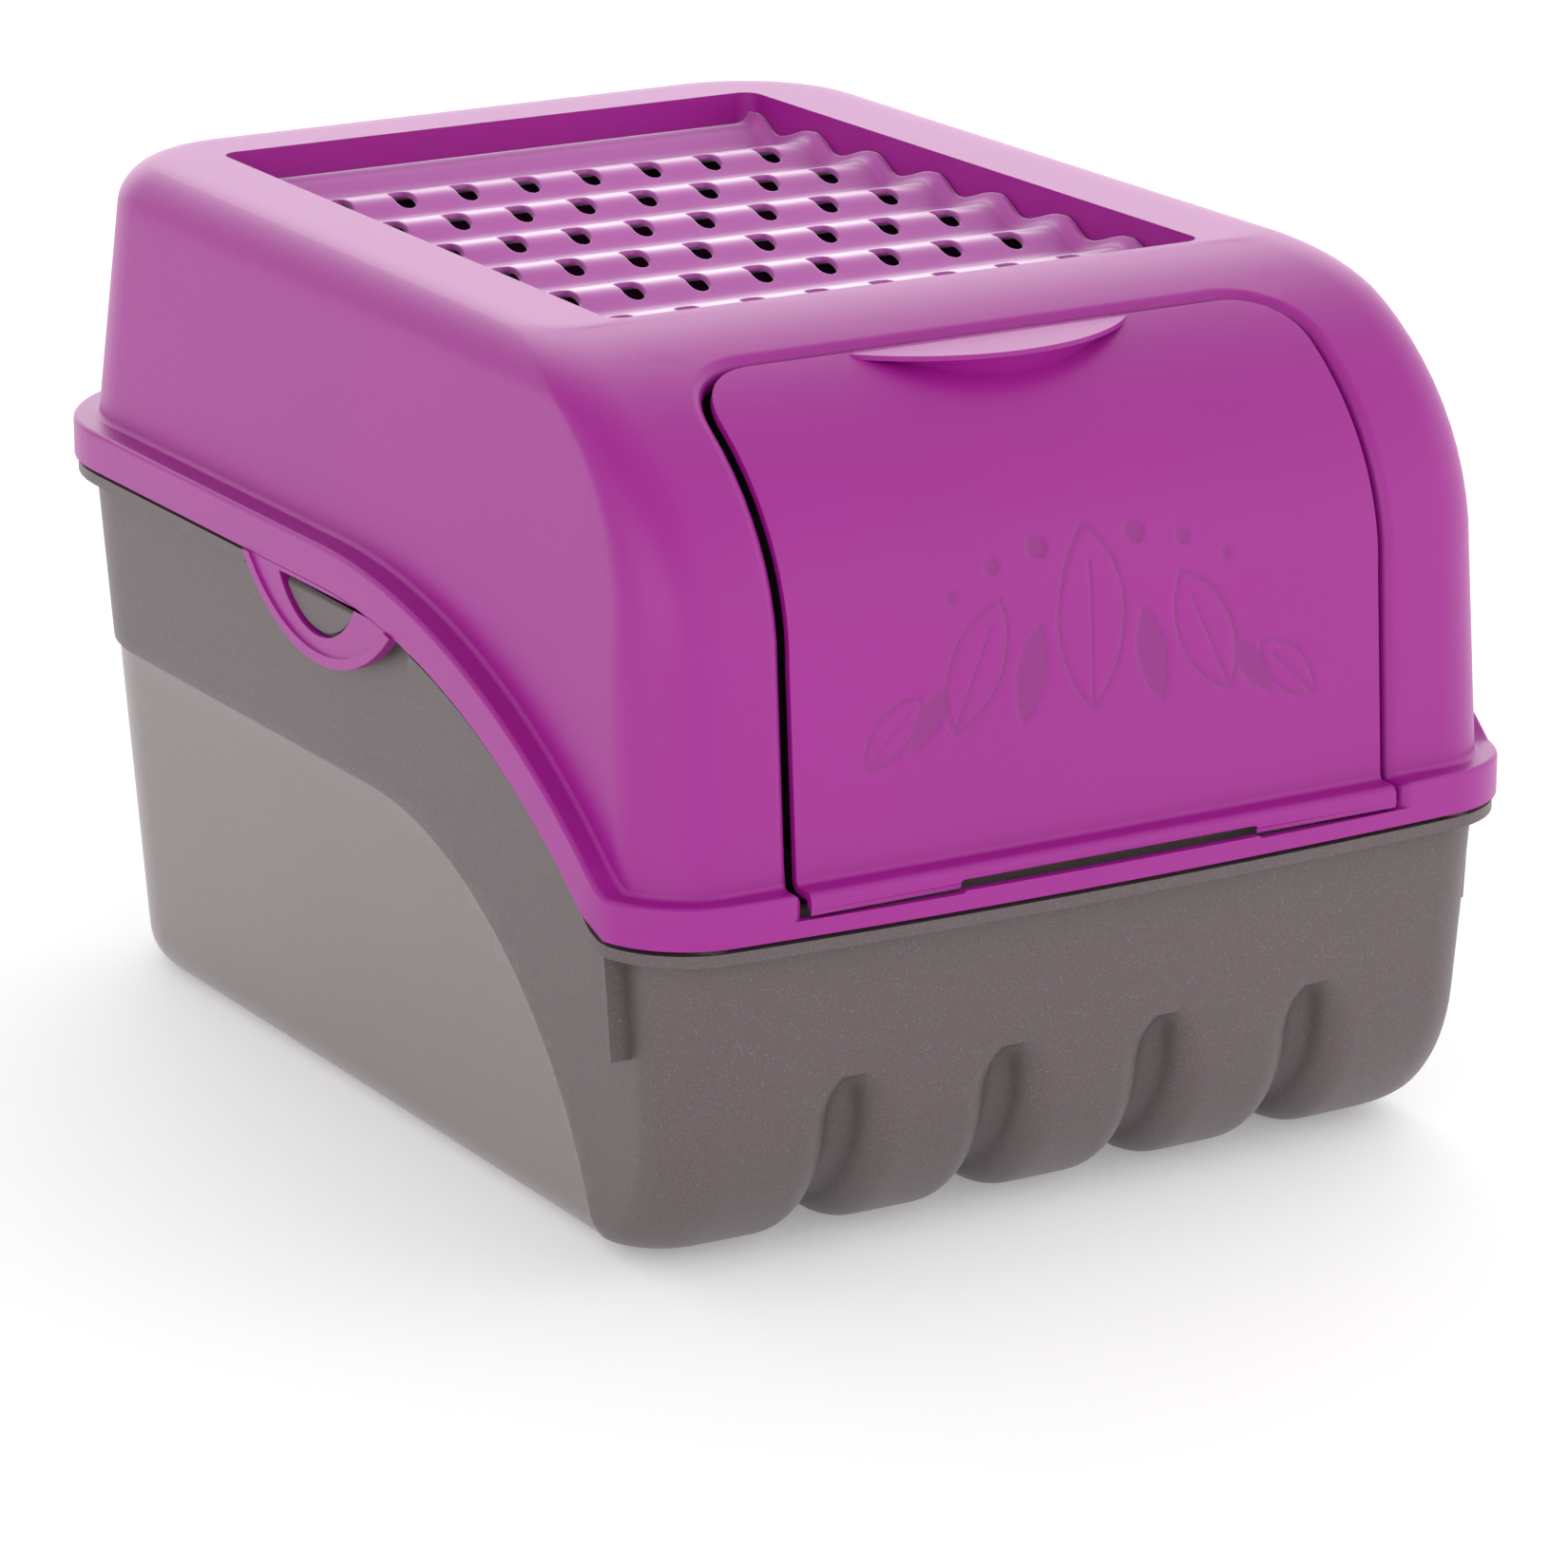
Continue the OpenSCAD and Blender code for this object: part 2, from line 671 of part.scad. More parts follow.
// The flange follows the rim and stops on both sides of each latch tab
module flange() {
    side_in = tub_inset + draft * (rim_back_z - rim_front_z + past);
    difference() {
        intersection() {
            rim_prism(flange_inset, rim_front_z - 3 * past, rim_back_z + past);
            rim_band(-flange_gap - flange_t, -flange_gap);
        }
        translate([0, 0, rim_front_z - 4 * past])
            linear_extrude(rim_back_z)
                polygon(plan(half_w - side_in, half_w - side_in, tub_front_y + tub_wall / 2,
                             rim_d - tub_back_inset - tub_wall / 2, tub_front_r, tub_back_r, tub_bow));
        for (side = [-1, 1])
            translate([side * half_w, tab_y, rim_back_z])
                cube([2 * tub_inset - 0.4, 2 * (tab_half_l + flange_end_gap), 4 * rim_h], center = true);
    }
}

// Room between the tub's front wall with its corners and the flap's foot
module door_room() {
    translate([-half_w, -past, foot_z - hood_wall - door_dip])
        cube([2 * half_w, tub_front_y + tub_front_r + past, 2 * rim_h]);
}

// Upright fins that stiffen the flange near the front
module fins() {
    fin_top = rim_front_z - flange_gap - flange_t / 2;
    outer_low = half_w - fin_inset - draft * (rim_front_z - fin_z);
    for (side = [0, 1])
        mirror([side, 0, 0])
            translate([0, fin_y + fin_t, 0])
                rotate([90, 0, 0])
                    linear_extrude(fin_t)
                        polygon([[tub_half(fin_z) - tub_wall / 2, fin_z], [outer_low, fin_z],
                                 [half_w - fin_inset, fin_top], [tub_half(fin_top) - tub_wall / 2, fin_top]]);
}

module tub() {
    rise = rim_h - hood_wall - seat_gap;
    color("#5f5253")
    translate([0, -mid_y, 0]) {
        difference() {
            union() {
                difference() {
                    tub_form(0, 0, 0, rim_back_z + 2 * rim_h);
                    // the lower panel lies a step further in
                    difference() {
                        across()
                            panel_profile();
                        tub_form(step_in, -past, -past / 2, rim_back_z + 2 * rim_h);
                    }
                }
                fins();
            }
            above_rim(rise);
            door_room();
            difference() {
                tub_form(step_in + tub_wall, tub_wall, tub_wall, rim_back_z + 3 * rim_h);
                grooves(tub_wall);
            }
            grooves(0);
        }
        flange();
    }
}

// Half-moon lug that shows in the tab's window, seated on the sloping wall, with a ramp at its top
module catch_lug(side) {
    low_z = window_z;
    high_z = window_top_z - lug_gap;
    color("#6b5e5e")
    translate([0, -mid_y, 0])
    mirror([side < 0 ? 1 : 0, 0, 0])
    intersection() {
        across()
            window_profile(lug_gap);
        translate([0, tab_y + window_w, 0])
            rotate([90, 0, 0])
                linear_extrude(2 * window_w)
                    polygon([[tub_half(low_z), low_z], [lug_face, low_z], [lug_face, high_z - lug_ramp],
                             [lug_face - lug_ramp, high_z], [tub_half(high_z), high_z]]);
    }
}

module catch_lug_left() {
    catch_lug(-1);
}

module catch_lug_right() {
    catch_lug(1);
}

tub();
catch_lug_left();
catch_lug_right();
hood();
vent_grille();
front_flap();
film_hinge_left();
film_hinge_right();
latch_tab_left();
latch_tab_right();
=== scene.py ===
# Potato storage bin: a grey-brown tub with a clip-on purple hood.
# The shapes are worked out in millimetres, with y = 0 at the front corners of
# the hood's rim, and each finished piece is then moved to the frame in metres.
import math

import bmesh
import bpy
from mathutils import Matrix, Vector


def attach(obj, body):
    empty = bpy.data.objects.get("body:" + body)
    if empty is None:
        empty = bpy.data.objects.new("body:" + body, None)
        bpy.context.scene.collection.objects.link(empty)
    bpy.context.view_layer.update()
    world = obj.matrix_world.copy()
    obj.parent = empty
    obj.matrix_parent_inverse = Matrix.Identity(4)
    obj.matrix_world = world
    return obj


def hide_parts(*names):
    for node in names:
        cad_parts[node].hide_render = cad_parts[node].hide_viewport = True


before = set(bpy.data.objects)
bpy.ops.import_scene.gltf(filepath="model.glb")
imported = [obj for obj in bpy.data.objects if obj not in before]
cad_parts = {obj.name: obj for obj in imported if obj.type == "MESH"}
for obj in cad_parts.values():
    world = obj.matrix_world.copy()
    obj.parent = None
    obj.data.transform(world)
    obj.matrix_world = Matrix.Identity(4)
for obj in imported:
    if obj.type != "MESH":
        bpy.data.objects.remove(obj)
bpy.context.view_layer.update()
scene = bpy.context.scene

midY = 170.2  # from the rim's front corners to the frame's origin
toFrame = Matrix.Scale(0.001, 4) @ Matrix.Translation((0, -midY, 0))


# Small helpers

def mix(a, b, share):
    return a + (b - a) * share


def ease(share):
    share = min(1.0, max(0.0, share))
    return share * share * (3 - 2 * share)


# Even steps after start, up to and with end.
def steps(start, end, count):
    return [mix(start, end, i / count) for i in range(1, count + 1)]


# A flat grid as rows of vertices, so that each can be put in its place.
def gridRows(bm, columns, rows):
    made = bmesh.ops.create_grid(bm, x_segments=columns - 1, y_segments=rows - 1, size=1.0)["verts"]
    made.sort(key=lambda v: (round(v.co.y, 5), v.co.x))
    return [made[i * columns:(i + 1) * columns] for i in range(rows)]


# Adds the left half to a right half and joins them along the middle.
def mirrorHalf(bm):
    geom = bm.verts[:] + bm.edges[:] + bm.faces[:]
    bmesh.ops.mirror(bm, geom=geom, axis="X", matrix=Matrix.Identity(4), merge_dist=0.01)
    bmesh.ops.recalc_face_normals(bm, faces=bm.faces)


def roundEdges(bm, edges, width, segments):
    return bmesh.ops.bevel(bm, geom=edges, offset=width, offset_type="OFFSET", affect="EDGES",
                           segments=segments, profile=0.5, material=-1, clamp_overlap=True)


# A number on vertices, which outlasts the mirror, and the edges between two of them
def markLine(verts, mark, number):
    for vert in verts:
        vert[mark] = number


def markedEdges(bm, mark, number):
    return [e for e in bm.edges if all(v[mark] == number for v in e.verts)]


def meshObject(bm, name, material):
    mesh = bpy.data.meshes.new(name)
    bm.to_mesh(mesh)
    bm.free()
    mesh.materials.append(material)
    made = bpy.data.objects.new(name, mesh)
    scene.collection.objects.link(made)
    return made


def makePiece(bm, name, material, body, nodes):
    bmesh.ops.transform(bm, verts=bm.verts, matrix=toFrame)
    piece = meshObject(bm, name, material)
    piece.data.shade_smooth()
    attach(piece, body)
    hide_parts(*nodes)
    print("piece", name, len(piece.data.vertices), "vertices")
    return piece


def giveWall(piece, thickness):
    wall = piece.modifiers.new("wall", "SOLIDIFY")
    wall.thickness = thickness * 0.001
    wall.offset = -1
    wall.use_even_offset = True
    wall.use_quality_normals = True


def softenEdges(piece, width, segments=3, angle=38):
    soft = piece.modifiers.new("softEdges", "BEVEL")
    soft.width = width * 0.001
    soft.segments = segments
    soft.limit_method = "ANGLE"
    soft.angle_limit = math.radians(angle)
    soft.harden_normals = False
    keep = piece.modifiers.new("flatFaces", "WEIGHTED_NORMAL")
    keep.keep_sharp = False
    keep.weight = 60


# Materials

# Linear colour of an sRGB hex value.
def linear(hexColour):
    parts = [int(hexColour[i:i + 2], 16) / 255 for i in (1, 3, 5)]
    return [p / 12.92 if p <= 0.04045 else ((p + 0.055) / 1.055) ** 2.4 for p in parts] + [1.0]


# Adds a shader node, sets its values and joins its inputs to other sockets. An
# input is given by its name, or by its number where several share a name.
def addNode(tree, kind, settings=None, links=None):
    node = tree.nodes.new("ShaderNode" + kind)
    for key, value in (settings or {}).items():
        if isinstance(key, int) or key in node.inputs:
            node.inputs[key].default_value = value
        else:
            setattr(node, key, value)
    for key, socket in (links or {}).items():
        tree.links.new(socket, node.inputs[key])
    return node


def newMaterial(name):
    material = bpy.data.materials.new(name)
    material.use_nodes = True
    tree = material.node_tree
    tree.nodes.clear()
    return material, tree


# The slow change of shade and the mould's grain, which both plastics have
def mouldedSkin(tree, look):
    place = addNode(tree, "TexCoord")
    cloud = addNode(tree, "TexNoise",
                    {"Scale": 1000 / look["cloudMm"], "Detail": 2.0, "Roughness": 0.5},
                    {"Vector": place.outputs["Object"]})
    shade = addNode(tree, "MapRange",
                    {"To Min": 1 - look["cloudChange"], "To Max": 1 + look["cloudChange"]},
                    {"Value": cloud.outputs["Fac"]})
    grain = addNode(tree, "TexNoise",
                    {"Scale": 1000 / look["grainMm"], "Detail": 3.0, "Roughness": look["grainRoughness"]},
                    {"Vector": place.outputs["Object"]})
    bump = addNode(tree, "Bump",
                   {"Strength": look["grainDepth"], "Distance": look["grainHeight"]},
                   {"Height": grain.outputs["Fac"]})
    return place.outputs["Object"], shade.outputs["Result"], bump.outputs["Normal"]


satinPurple = {
    "colour": "#9D128C",
    "roughness": 0.42,
    "ior": 1.49,  # polypropylene
    "grainMm": 0.45,  # spark-eroded grain of the mould
    "grainRoughness": 0.6,
    "grainDepth": 0.10,
    "grainHeight": 0.0002,
    "cloudMm": 60.0,  # slow change of shade in the moulding
    "cloudChange": 0.04,
    "polished": 0.25,
    "polishedTint": (0.8, 0.7, 0.8, 1.0),
    "veil": 0.0,  # pale scatter at flat angles
    "veilRoughness": 0.35,
}


def purplePlastic(name, look):
    # Injection-moulded polypropylene, satin from a finely eroded mould: an even,
    # strong colour with a broad soft gloss and a grain that only shows close up
    material, tree = newMaterial(name)
    place, shade, normal = mouldedSkin(tree, look)
    tint = addNode(tree, "HueSaturation", {"Color": linear(look["colour"])}, {"Value": shade})
    # The pressed-in pattern was left polished in the mould: deeper in colour and glossier
    pressed = addNode(tree, "Attribute", {"attribute_name": "pressed"})
    deep = addNode(tree, "Mix",
                   {"data_type": "RGBA", "blend_type": "MULTIPLY", 7: look["polishedTint"]},
                   {0: pressed.outputs["Fac"], 6: tint.outputs["Color"]})
    polish = addNode(tree, "MapRange",
                     {"To Min": look["roughness"], "To Max": look["polished"]},
                     {"Value": pressed.outputs["Fac"]})
    surface = addNode(tree, "BsdfPrincipled",
                      {"IOR": look["ior"], "Sheen Weight": look["veil"],
                       "Sheen Roughness": look["veilRoughness"]},
                      {"Base Color": deep.outputs[2], "Roughness": polish.outputs["Result"],
                       "Normal": normal})
    addNode(tree, "OutputMaterial", {}, {"Surface": surface.outputs["BSDF"]})
    return material


grainyTaupe = {
    "colour": "#5E5254",
    "fleck": "#8C8280",
    "roughness": 0.5,
    "ior": 1.49,
    "fleckMm": 0.5,
    "grainMm": 0.5,
    "grainRoughness": 0.65,
    "grainDepth": 0.22,
    "grainHeight": 0.0003,
    "cloudMm": 70.0,
    "cloudChange": 0.05,
    "panelColour": "#7C7070",
    "panelRoughness": 0.36,
}


def taupePlastic(name, look):
    # Injection-moulded polypropylene from a coarser eroded mould: dull, with
    # fine pale flecks where the grain catches the light
    material, tree = newMaterial(name)
    place, shade, normal = mouldedSkin(tree, look)
    flecks = addNode(tree, "TexNoise",
                     {"Scale": 1000 / look["fleckMm"], "Detail": 2.0, "Roughness": 0.7},
                     {"Vector": place})
    share = addNode(tree, "MapRange",
                    {"From Min": 0.56, "From Max": 0.78, "To Min": 0.0, "To Max": 0.75},
                    {"Value": flecks.outputs["Fac"]})
    # The tub's lower panel has a smoother, paler finish than the band above it
    panel = addNode(tree, "Attribute", {"attribute_name": "panel"})
    base = addNode(tree, "Mix",
                   {"data_type": "RGBA", 6: linear(look["colour"]), 7: linear(look["panelColour"])},
                   {0: panel.outputs["Fac"]})
    smooth = addNode(tree, "MapRange",
                     {"To Min": look["roughness"], "To Max": look["panelRoughness"]},
                     {"Value": panel.outputs["Fac"]})
    tint = addNode(tree, "HueSaturation", {}, {"Color": base.outputs[2], "Value": shade})
    colour = addNode(tree, "Mix", {"data_type": "RGBA", 7: linear(look["fleck"])},
                     {0: share.outputs["Result"], 6: tint.outputs["Color"]})
    surface = addNode(tree, "BsdfPrincipled", {"IOR": look["ior"]},
                      {"Base Color": colour.outputs[2], "Roughness": smooth.outputs["Result"],
                       "Normal": normal})
    addNode(tree, "OutputMaterial", {}, {"Surface": surface.outputs["BSDF"]})
    return material


purple = purplePlastic("satinPurplePolypropylene", satinPurple)
# The tray's floor is the same plastic drawn glossier and with a strong pale scatter at flat angles; its paler
# base colour is painted sheen, standing in for the bright room that it mirrors
trayPurpleWithPaintedSheen = {**satinPurple, "colour": "#B452A8", "roughness": 0.3, "veil": 1.0}
glossyPurpleWithPaintedSheen = purplePlastic("polishedPurplePaintedSheenPolypropylene", trayPurpleWithPaintedSheen)
taupe = taupePlastic("grainyTaupePolypropylene", grainyTaupe)
print("materials ready")


# Outline maths that the pieces share

# A point of a rounded plan outline, which runs from the middle of the front
# round the right side to the middle of the back. A column is the name of a
# stretch and a share of it, but on the stretch "x" it is x itself.
def outlinePoint(column, outline):
    halfFront, halfBack, frontY, backY, frontR, backR, bow = outline
    stretch, share = column[:2]
    slope = math.atan(2 * bow * (halfFront - frontR) / halfFront ** 2)
    endX = halfFront - frontR + frontR * math.sin(slope)
    turnY = frontY - bow * (1 - (endX / halfFront) ** 2) + frontR * math.cos(slope)
    if stretch == "x":
        return share, frontY - bow * (1 - (share / halfFront) ** 2)
    if stretch == "wing":
        x = mix(column[2], endX, share)
        return x, frontY - bow * (1 - (x / halfFront) ** 2)
    if stretch == "frontCorner":
        turn = mix(slope - math.pi / 2, 0, share)
        return halfFront - frontR + frontR * math.cos(turn), turnY + frontR * math.sin(turn)
    if stretch == "side":
        return mix(halfFront, halfBack, share), mix(turnY, backY - backR, share)
    if stretch == "backCorner":
        turn = share * math.pi / 2
        return halfBack - backR + backR * math.cos(turn), backY - backR + backR * math.sin(turn)
    return (halfBack - backR) * (1 - share), backY


rim = {
    "halfWidth": 130.0,
    "depth": 346.0,
    "bow": 5.6,
    "frontR": 27.0,
    "backR": 48.0,
    "frontZ": 90.5,  # its lower edge along the front
    "backZ": 143.5,  # and along the level back half
    "levelY": 165.0,
    "arcR": 216.0,
    "hollowR": 14.0,
    "height": 10.6,
    "middleUp": 5.4,
    "slotUp": 4.9,  # the sill's edge under the open slot
    "sillUp": 4.2,  # and under the rest of the flap
    "topRounding": 3.4,
    "footFillet": 1.3,
}
rimRise = rim["backZ"] - rim["frontZ"]
rimFall = math.acos(1 - rimRise / (rim["arcR"] + rim["hollowR"]))
hollowY = rim["levelY"] - (rim["arcR"] + rim["hollowR"]) * math.sin(rimFall)


# Height of the rim's line, moved up square to itself.
def rimZ(y, up):
    hollow = rim["hollowR"] - up
    arc = rim["arcR"] + up
    if y < hollowY:
        return rim["frontZ"] + up
    if y < hollowY + hollow * math.sin(rimFall):
        return rim["frontZ"] + rim["hollowR"] - math.sqrt(hollow ** 2 - (y - hollowY) ** 2)
    if y < rim["levelY"]:
        return rim["backZ"] - rim["arcR"] + math.sqrt(arc ** 2 - (rim["levelY"] - y) ** 2)
    return rim["backZ"] + up


# Where the square line through the rim at height upper meets height lower.
def rimFootY(y, upper, lower):
    hollow = rim["hollowR"] - upper
    if y <= hollowY or y >= rim["levelY"]:
        return y
    if y < hollowY + hollow * math.sin(rimFall):
        return hollowY + (y - hollowY) * (rim["hollowR"] - lower) / hollow
    return rim["levelY"] - (rim["levelY"] - y) * (rim["arcR"] + lower) / (rim["arcR"] + upper)


def rimOutline(inset):
    return (rim["halfWidth"] - inset, rim["halfWidth"] - inset, inset, rim["depth"] - inset,
            rim["frontR"] - inset, rim["backR"] - inset, rim["bow"])


# A point on the rim's face at height up, below the point of that column at height upper.
def rimPoint(column, inset, up, upper):
    outline = rimOutline(inset)
    x, y = outlinePoint(column, outline)
    if column[0] in ("frontCorner", "side"):
        footY = rimFootY(y, upper, up)
        if column[0] == "frontCorner" and footY > y + 0.001:
            sideX, sideY = outlinePoint(("frontCorner", 1.0), outline)
            drop = max(0.0, sideY - footY)
            x = sideX - outline[4] + math.sqrt(max(0.0, outline[4] ** 2 - drop ** 2))
        y = footY
    return Vector((x, y, rimZ(y, up)))


hood = {
    "height": 222.0,
    "wall": 2.2,
    "ledge": 7.5,
    "backLedge": 6.0,
    "frontLedge": 4.2,
    "footFlare": 1.2,
    "topFrontHalf": 117.3,
    "topBackHalf": 114.0,
    "kneeZ": 155.0,
    "lean": 0.063,
    "curveDepth": 89.8,
    "topEdgeR": 11.0,
    "frontR": 20.0,
    "backR": 41.0,
    "bow": 1.0,
    "bowAtDoor": 0.6,  # share of the bow that is left at the doorway's corners
    "topCornerShare": 0.6,  # of the front corners' radius, at the top
}
footZ = rim["frontZ"] + rim["height"]
kneeHalf = rim["halfWidth"] - hood["ledge"]
kneeY = hood["frontLedge"] + hood["lean"] * (hood["kneeZ"] - footZ)
curveY = hood["frontLedge"] + hood["curveDepth"]
curveA = curveY - kneeY  # half axes of the front's elliptical curve
curveB = hood["height"] - hood["kneeZ"]


def hoodOutline(z):
    rise = z - hood["kneeZ"]
    if rise <= 0:
        halfF = halfB = kneeHalf - hood["footFlare"] * rise / (hood["kneeZ"] - footZ)
        frontY = hood["frontLedge"] + hood["lean"] * (z - footZ)
        frontR = hood["frontR"]
    else:
        halfF = mix(kneeHalf, hood["topFrontHalf"], rise / curveB)
        halfB = mix(kneeHalf, hood["topBackHalf"], rise / curveB)
        frontY = curveY - curveA * math.sqrt(max(0.0, 1 - (rise / curveB) ** 2))
        frontR = mix(hood["frontR"], hood["topCornerShare"] * hood["frontR"], rise / curveB)
    over = z - hood["height"] + hood["topEdgeR"]
    inset = 0.0
    if over > 0:
        inset = hood["topEdgeR"] - math.sqrt(max(0.0, hood["topEdgeR"] ** 2 - over ** 2))
    return (halfF - inset, halfB - inset, frontY, rim["depth"] - hood["backLedge"] - inset,
            frontR, hood["backR"] - inset, hood["bow"])


# The front's side view. Below 0 it is the leaning lower wall, from -1 at its
# foot, and above 0 the curve, up to 1 where it is level.
def profileAt(height):
    if height <= 0:
        z = mix(footZ, hood["kneeZ"], height + 1)
        return hood["frontLedge"] + hood["lean"] * (z - footZ), z
    turn = height * math.pi / 2
    return curveY - curveA * math.cos(turn), hood["kneeZ"] + curveB * math.sin(turn)


# Length along the front's side view, as a table between -1 and 1
profileSteps = 800
profileLength = [0.0]
for i in range(1, profileSteps + 1):
    a = profileAt(2 * (i - 1) / profileSteps - 1)
    b = profileAt(2 * i / profileSteps - 1)
    profileLength.append(profileLength[-1] + math.dist(a, b))


def heightAtLength(length):
    low, high = 0, profileSteps
    while high - low > 1:
        middle = (low + high) // 2
        if profileLength[middle] > length:
            high = middle
        else:
            low = middle
    share = (length - profileLength[low]) / (profileLength[high] - profileLength[low])
    return 2 * (low + share) / profileSteps - 1


def lengthAtHeight(height):
    spot = (height + 1) / 2 * profileSteps
    low = min(profileSteps - 1, max(0, int(spot)))
    return mix(profileLength[low], profileLength[low + 1], spot - low)


def heightAtY(y):
    return math.acos((curveY - y - hood["bowAtDoor"] * hood["bow"]) / curveA) / (math.pi / 2)


# A point on the hood's front, at a length up from its foot, moved inward.
def frontSkin(x, length, inward=0.0):
    height = heightAtLength(length)
    y, z = profileAt(height)
    ahead = profileAt(min(1.0, height + 0.002))
    back = profileAt(max(-1.0, height - 0.002))
    along = Vector((0, ahead[0] - back[0], ahead[1] - back[1])).normalized()
    half = hoodOutline(z)[0]
    point = Vector((x, y - hood["bow"] * (1 - (x / half) ** 2), z))
    return point + Vector((0, along.z, -along.y)) * inward


flap = {
    "halfWidth": 84.8,
    "topY": 55.5,
    "cornerR": 17.0,
    "gap": 1.8,
    "doorRoll": 3.6,  # the doorway's edge turns inwards with this radius
    "doorStraight": 1.5,
    "slotHalf": 42.9,
    "hingeY": -2.9,
    "hingeZ": 97.1,
    "slotZ": 97.5,  # the foot's lower edge over the open slot
    "footRounding": 2.4,
    "footAhead": 0.4,  # the foot's face stands this far before the hinge's line
    "gripWidth": 79.0,
    "gripOut": 17.5,
    "lip": 1.3,
    "lipOver": 1.4,
    "gripUndercut": 3.0,  # its wall leans out by this much
    "gripBack": 0.4,  # its straight back stays this far inside the flap's end
    "gripDrop": 0.35,
}
doorX = flap["halfWidth"] + flap["gap"] + flap["doorRoll"]
cornerX = flap["halfWidth"] - flap["cornerR"]
cornerY = flap["topY"] - flap["cornerR"]


# Lays the vertices of a square corner, flat as (x, length), on the round
# corner that is seen from above.
def roundDoorCorner(path, radius):
    for i, vert in enumerate(path):
        turn = math.pi / 2 * i / (len(path) - 1)
        vert.co.x = cornerX + radius * math.cos(turn)
        vert.co.y = lengthAtHeight(heightAtY(cornerY + radius * math.sin(turn)))


def evenOut(bm, verts, times):
    for i in range(times):
        bmesh.ops.smooth_vert(bm, verts=verts, factor=0.5, use_axis_x=True, use_axis_y=True, use_axis_z=False)


# The hood's shell

tray = {
    "frontWidth": 173.0,
    "backWidth": 166.0,
    "frontY": 89.5,
    "backY": 311.7,
    "cornerR": 5.0,
    "depth": 14.4,
    "floor": 1.8,
    "capY": 84.0,  # where the grid leaves the curve for the tray's edge
    "wingShare": 0.25,
    "capReach": 3.1,  # how far in from there the sides' rounding goes on
}


def trayOutline(inset=0.0):
    return (tray["frontWidth"] / 2 - inset, tray["backWidth"] / 2 - inset, tray["frontY"] + inset,
            tray["backY"] - inset, tray["cornerR"], tray["cornerR"], 0.0)


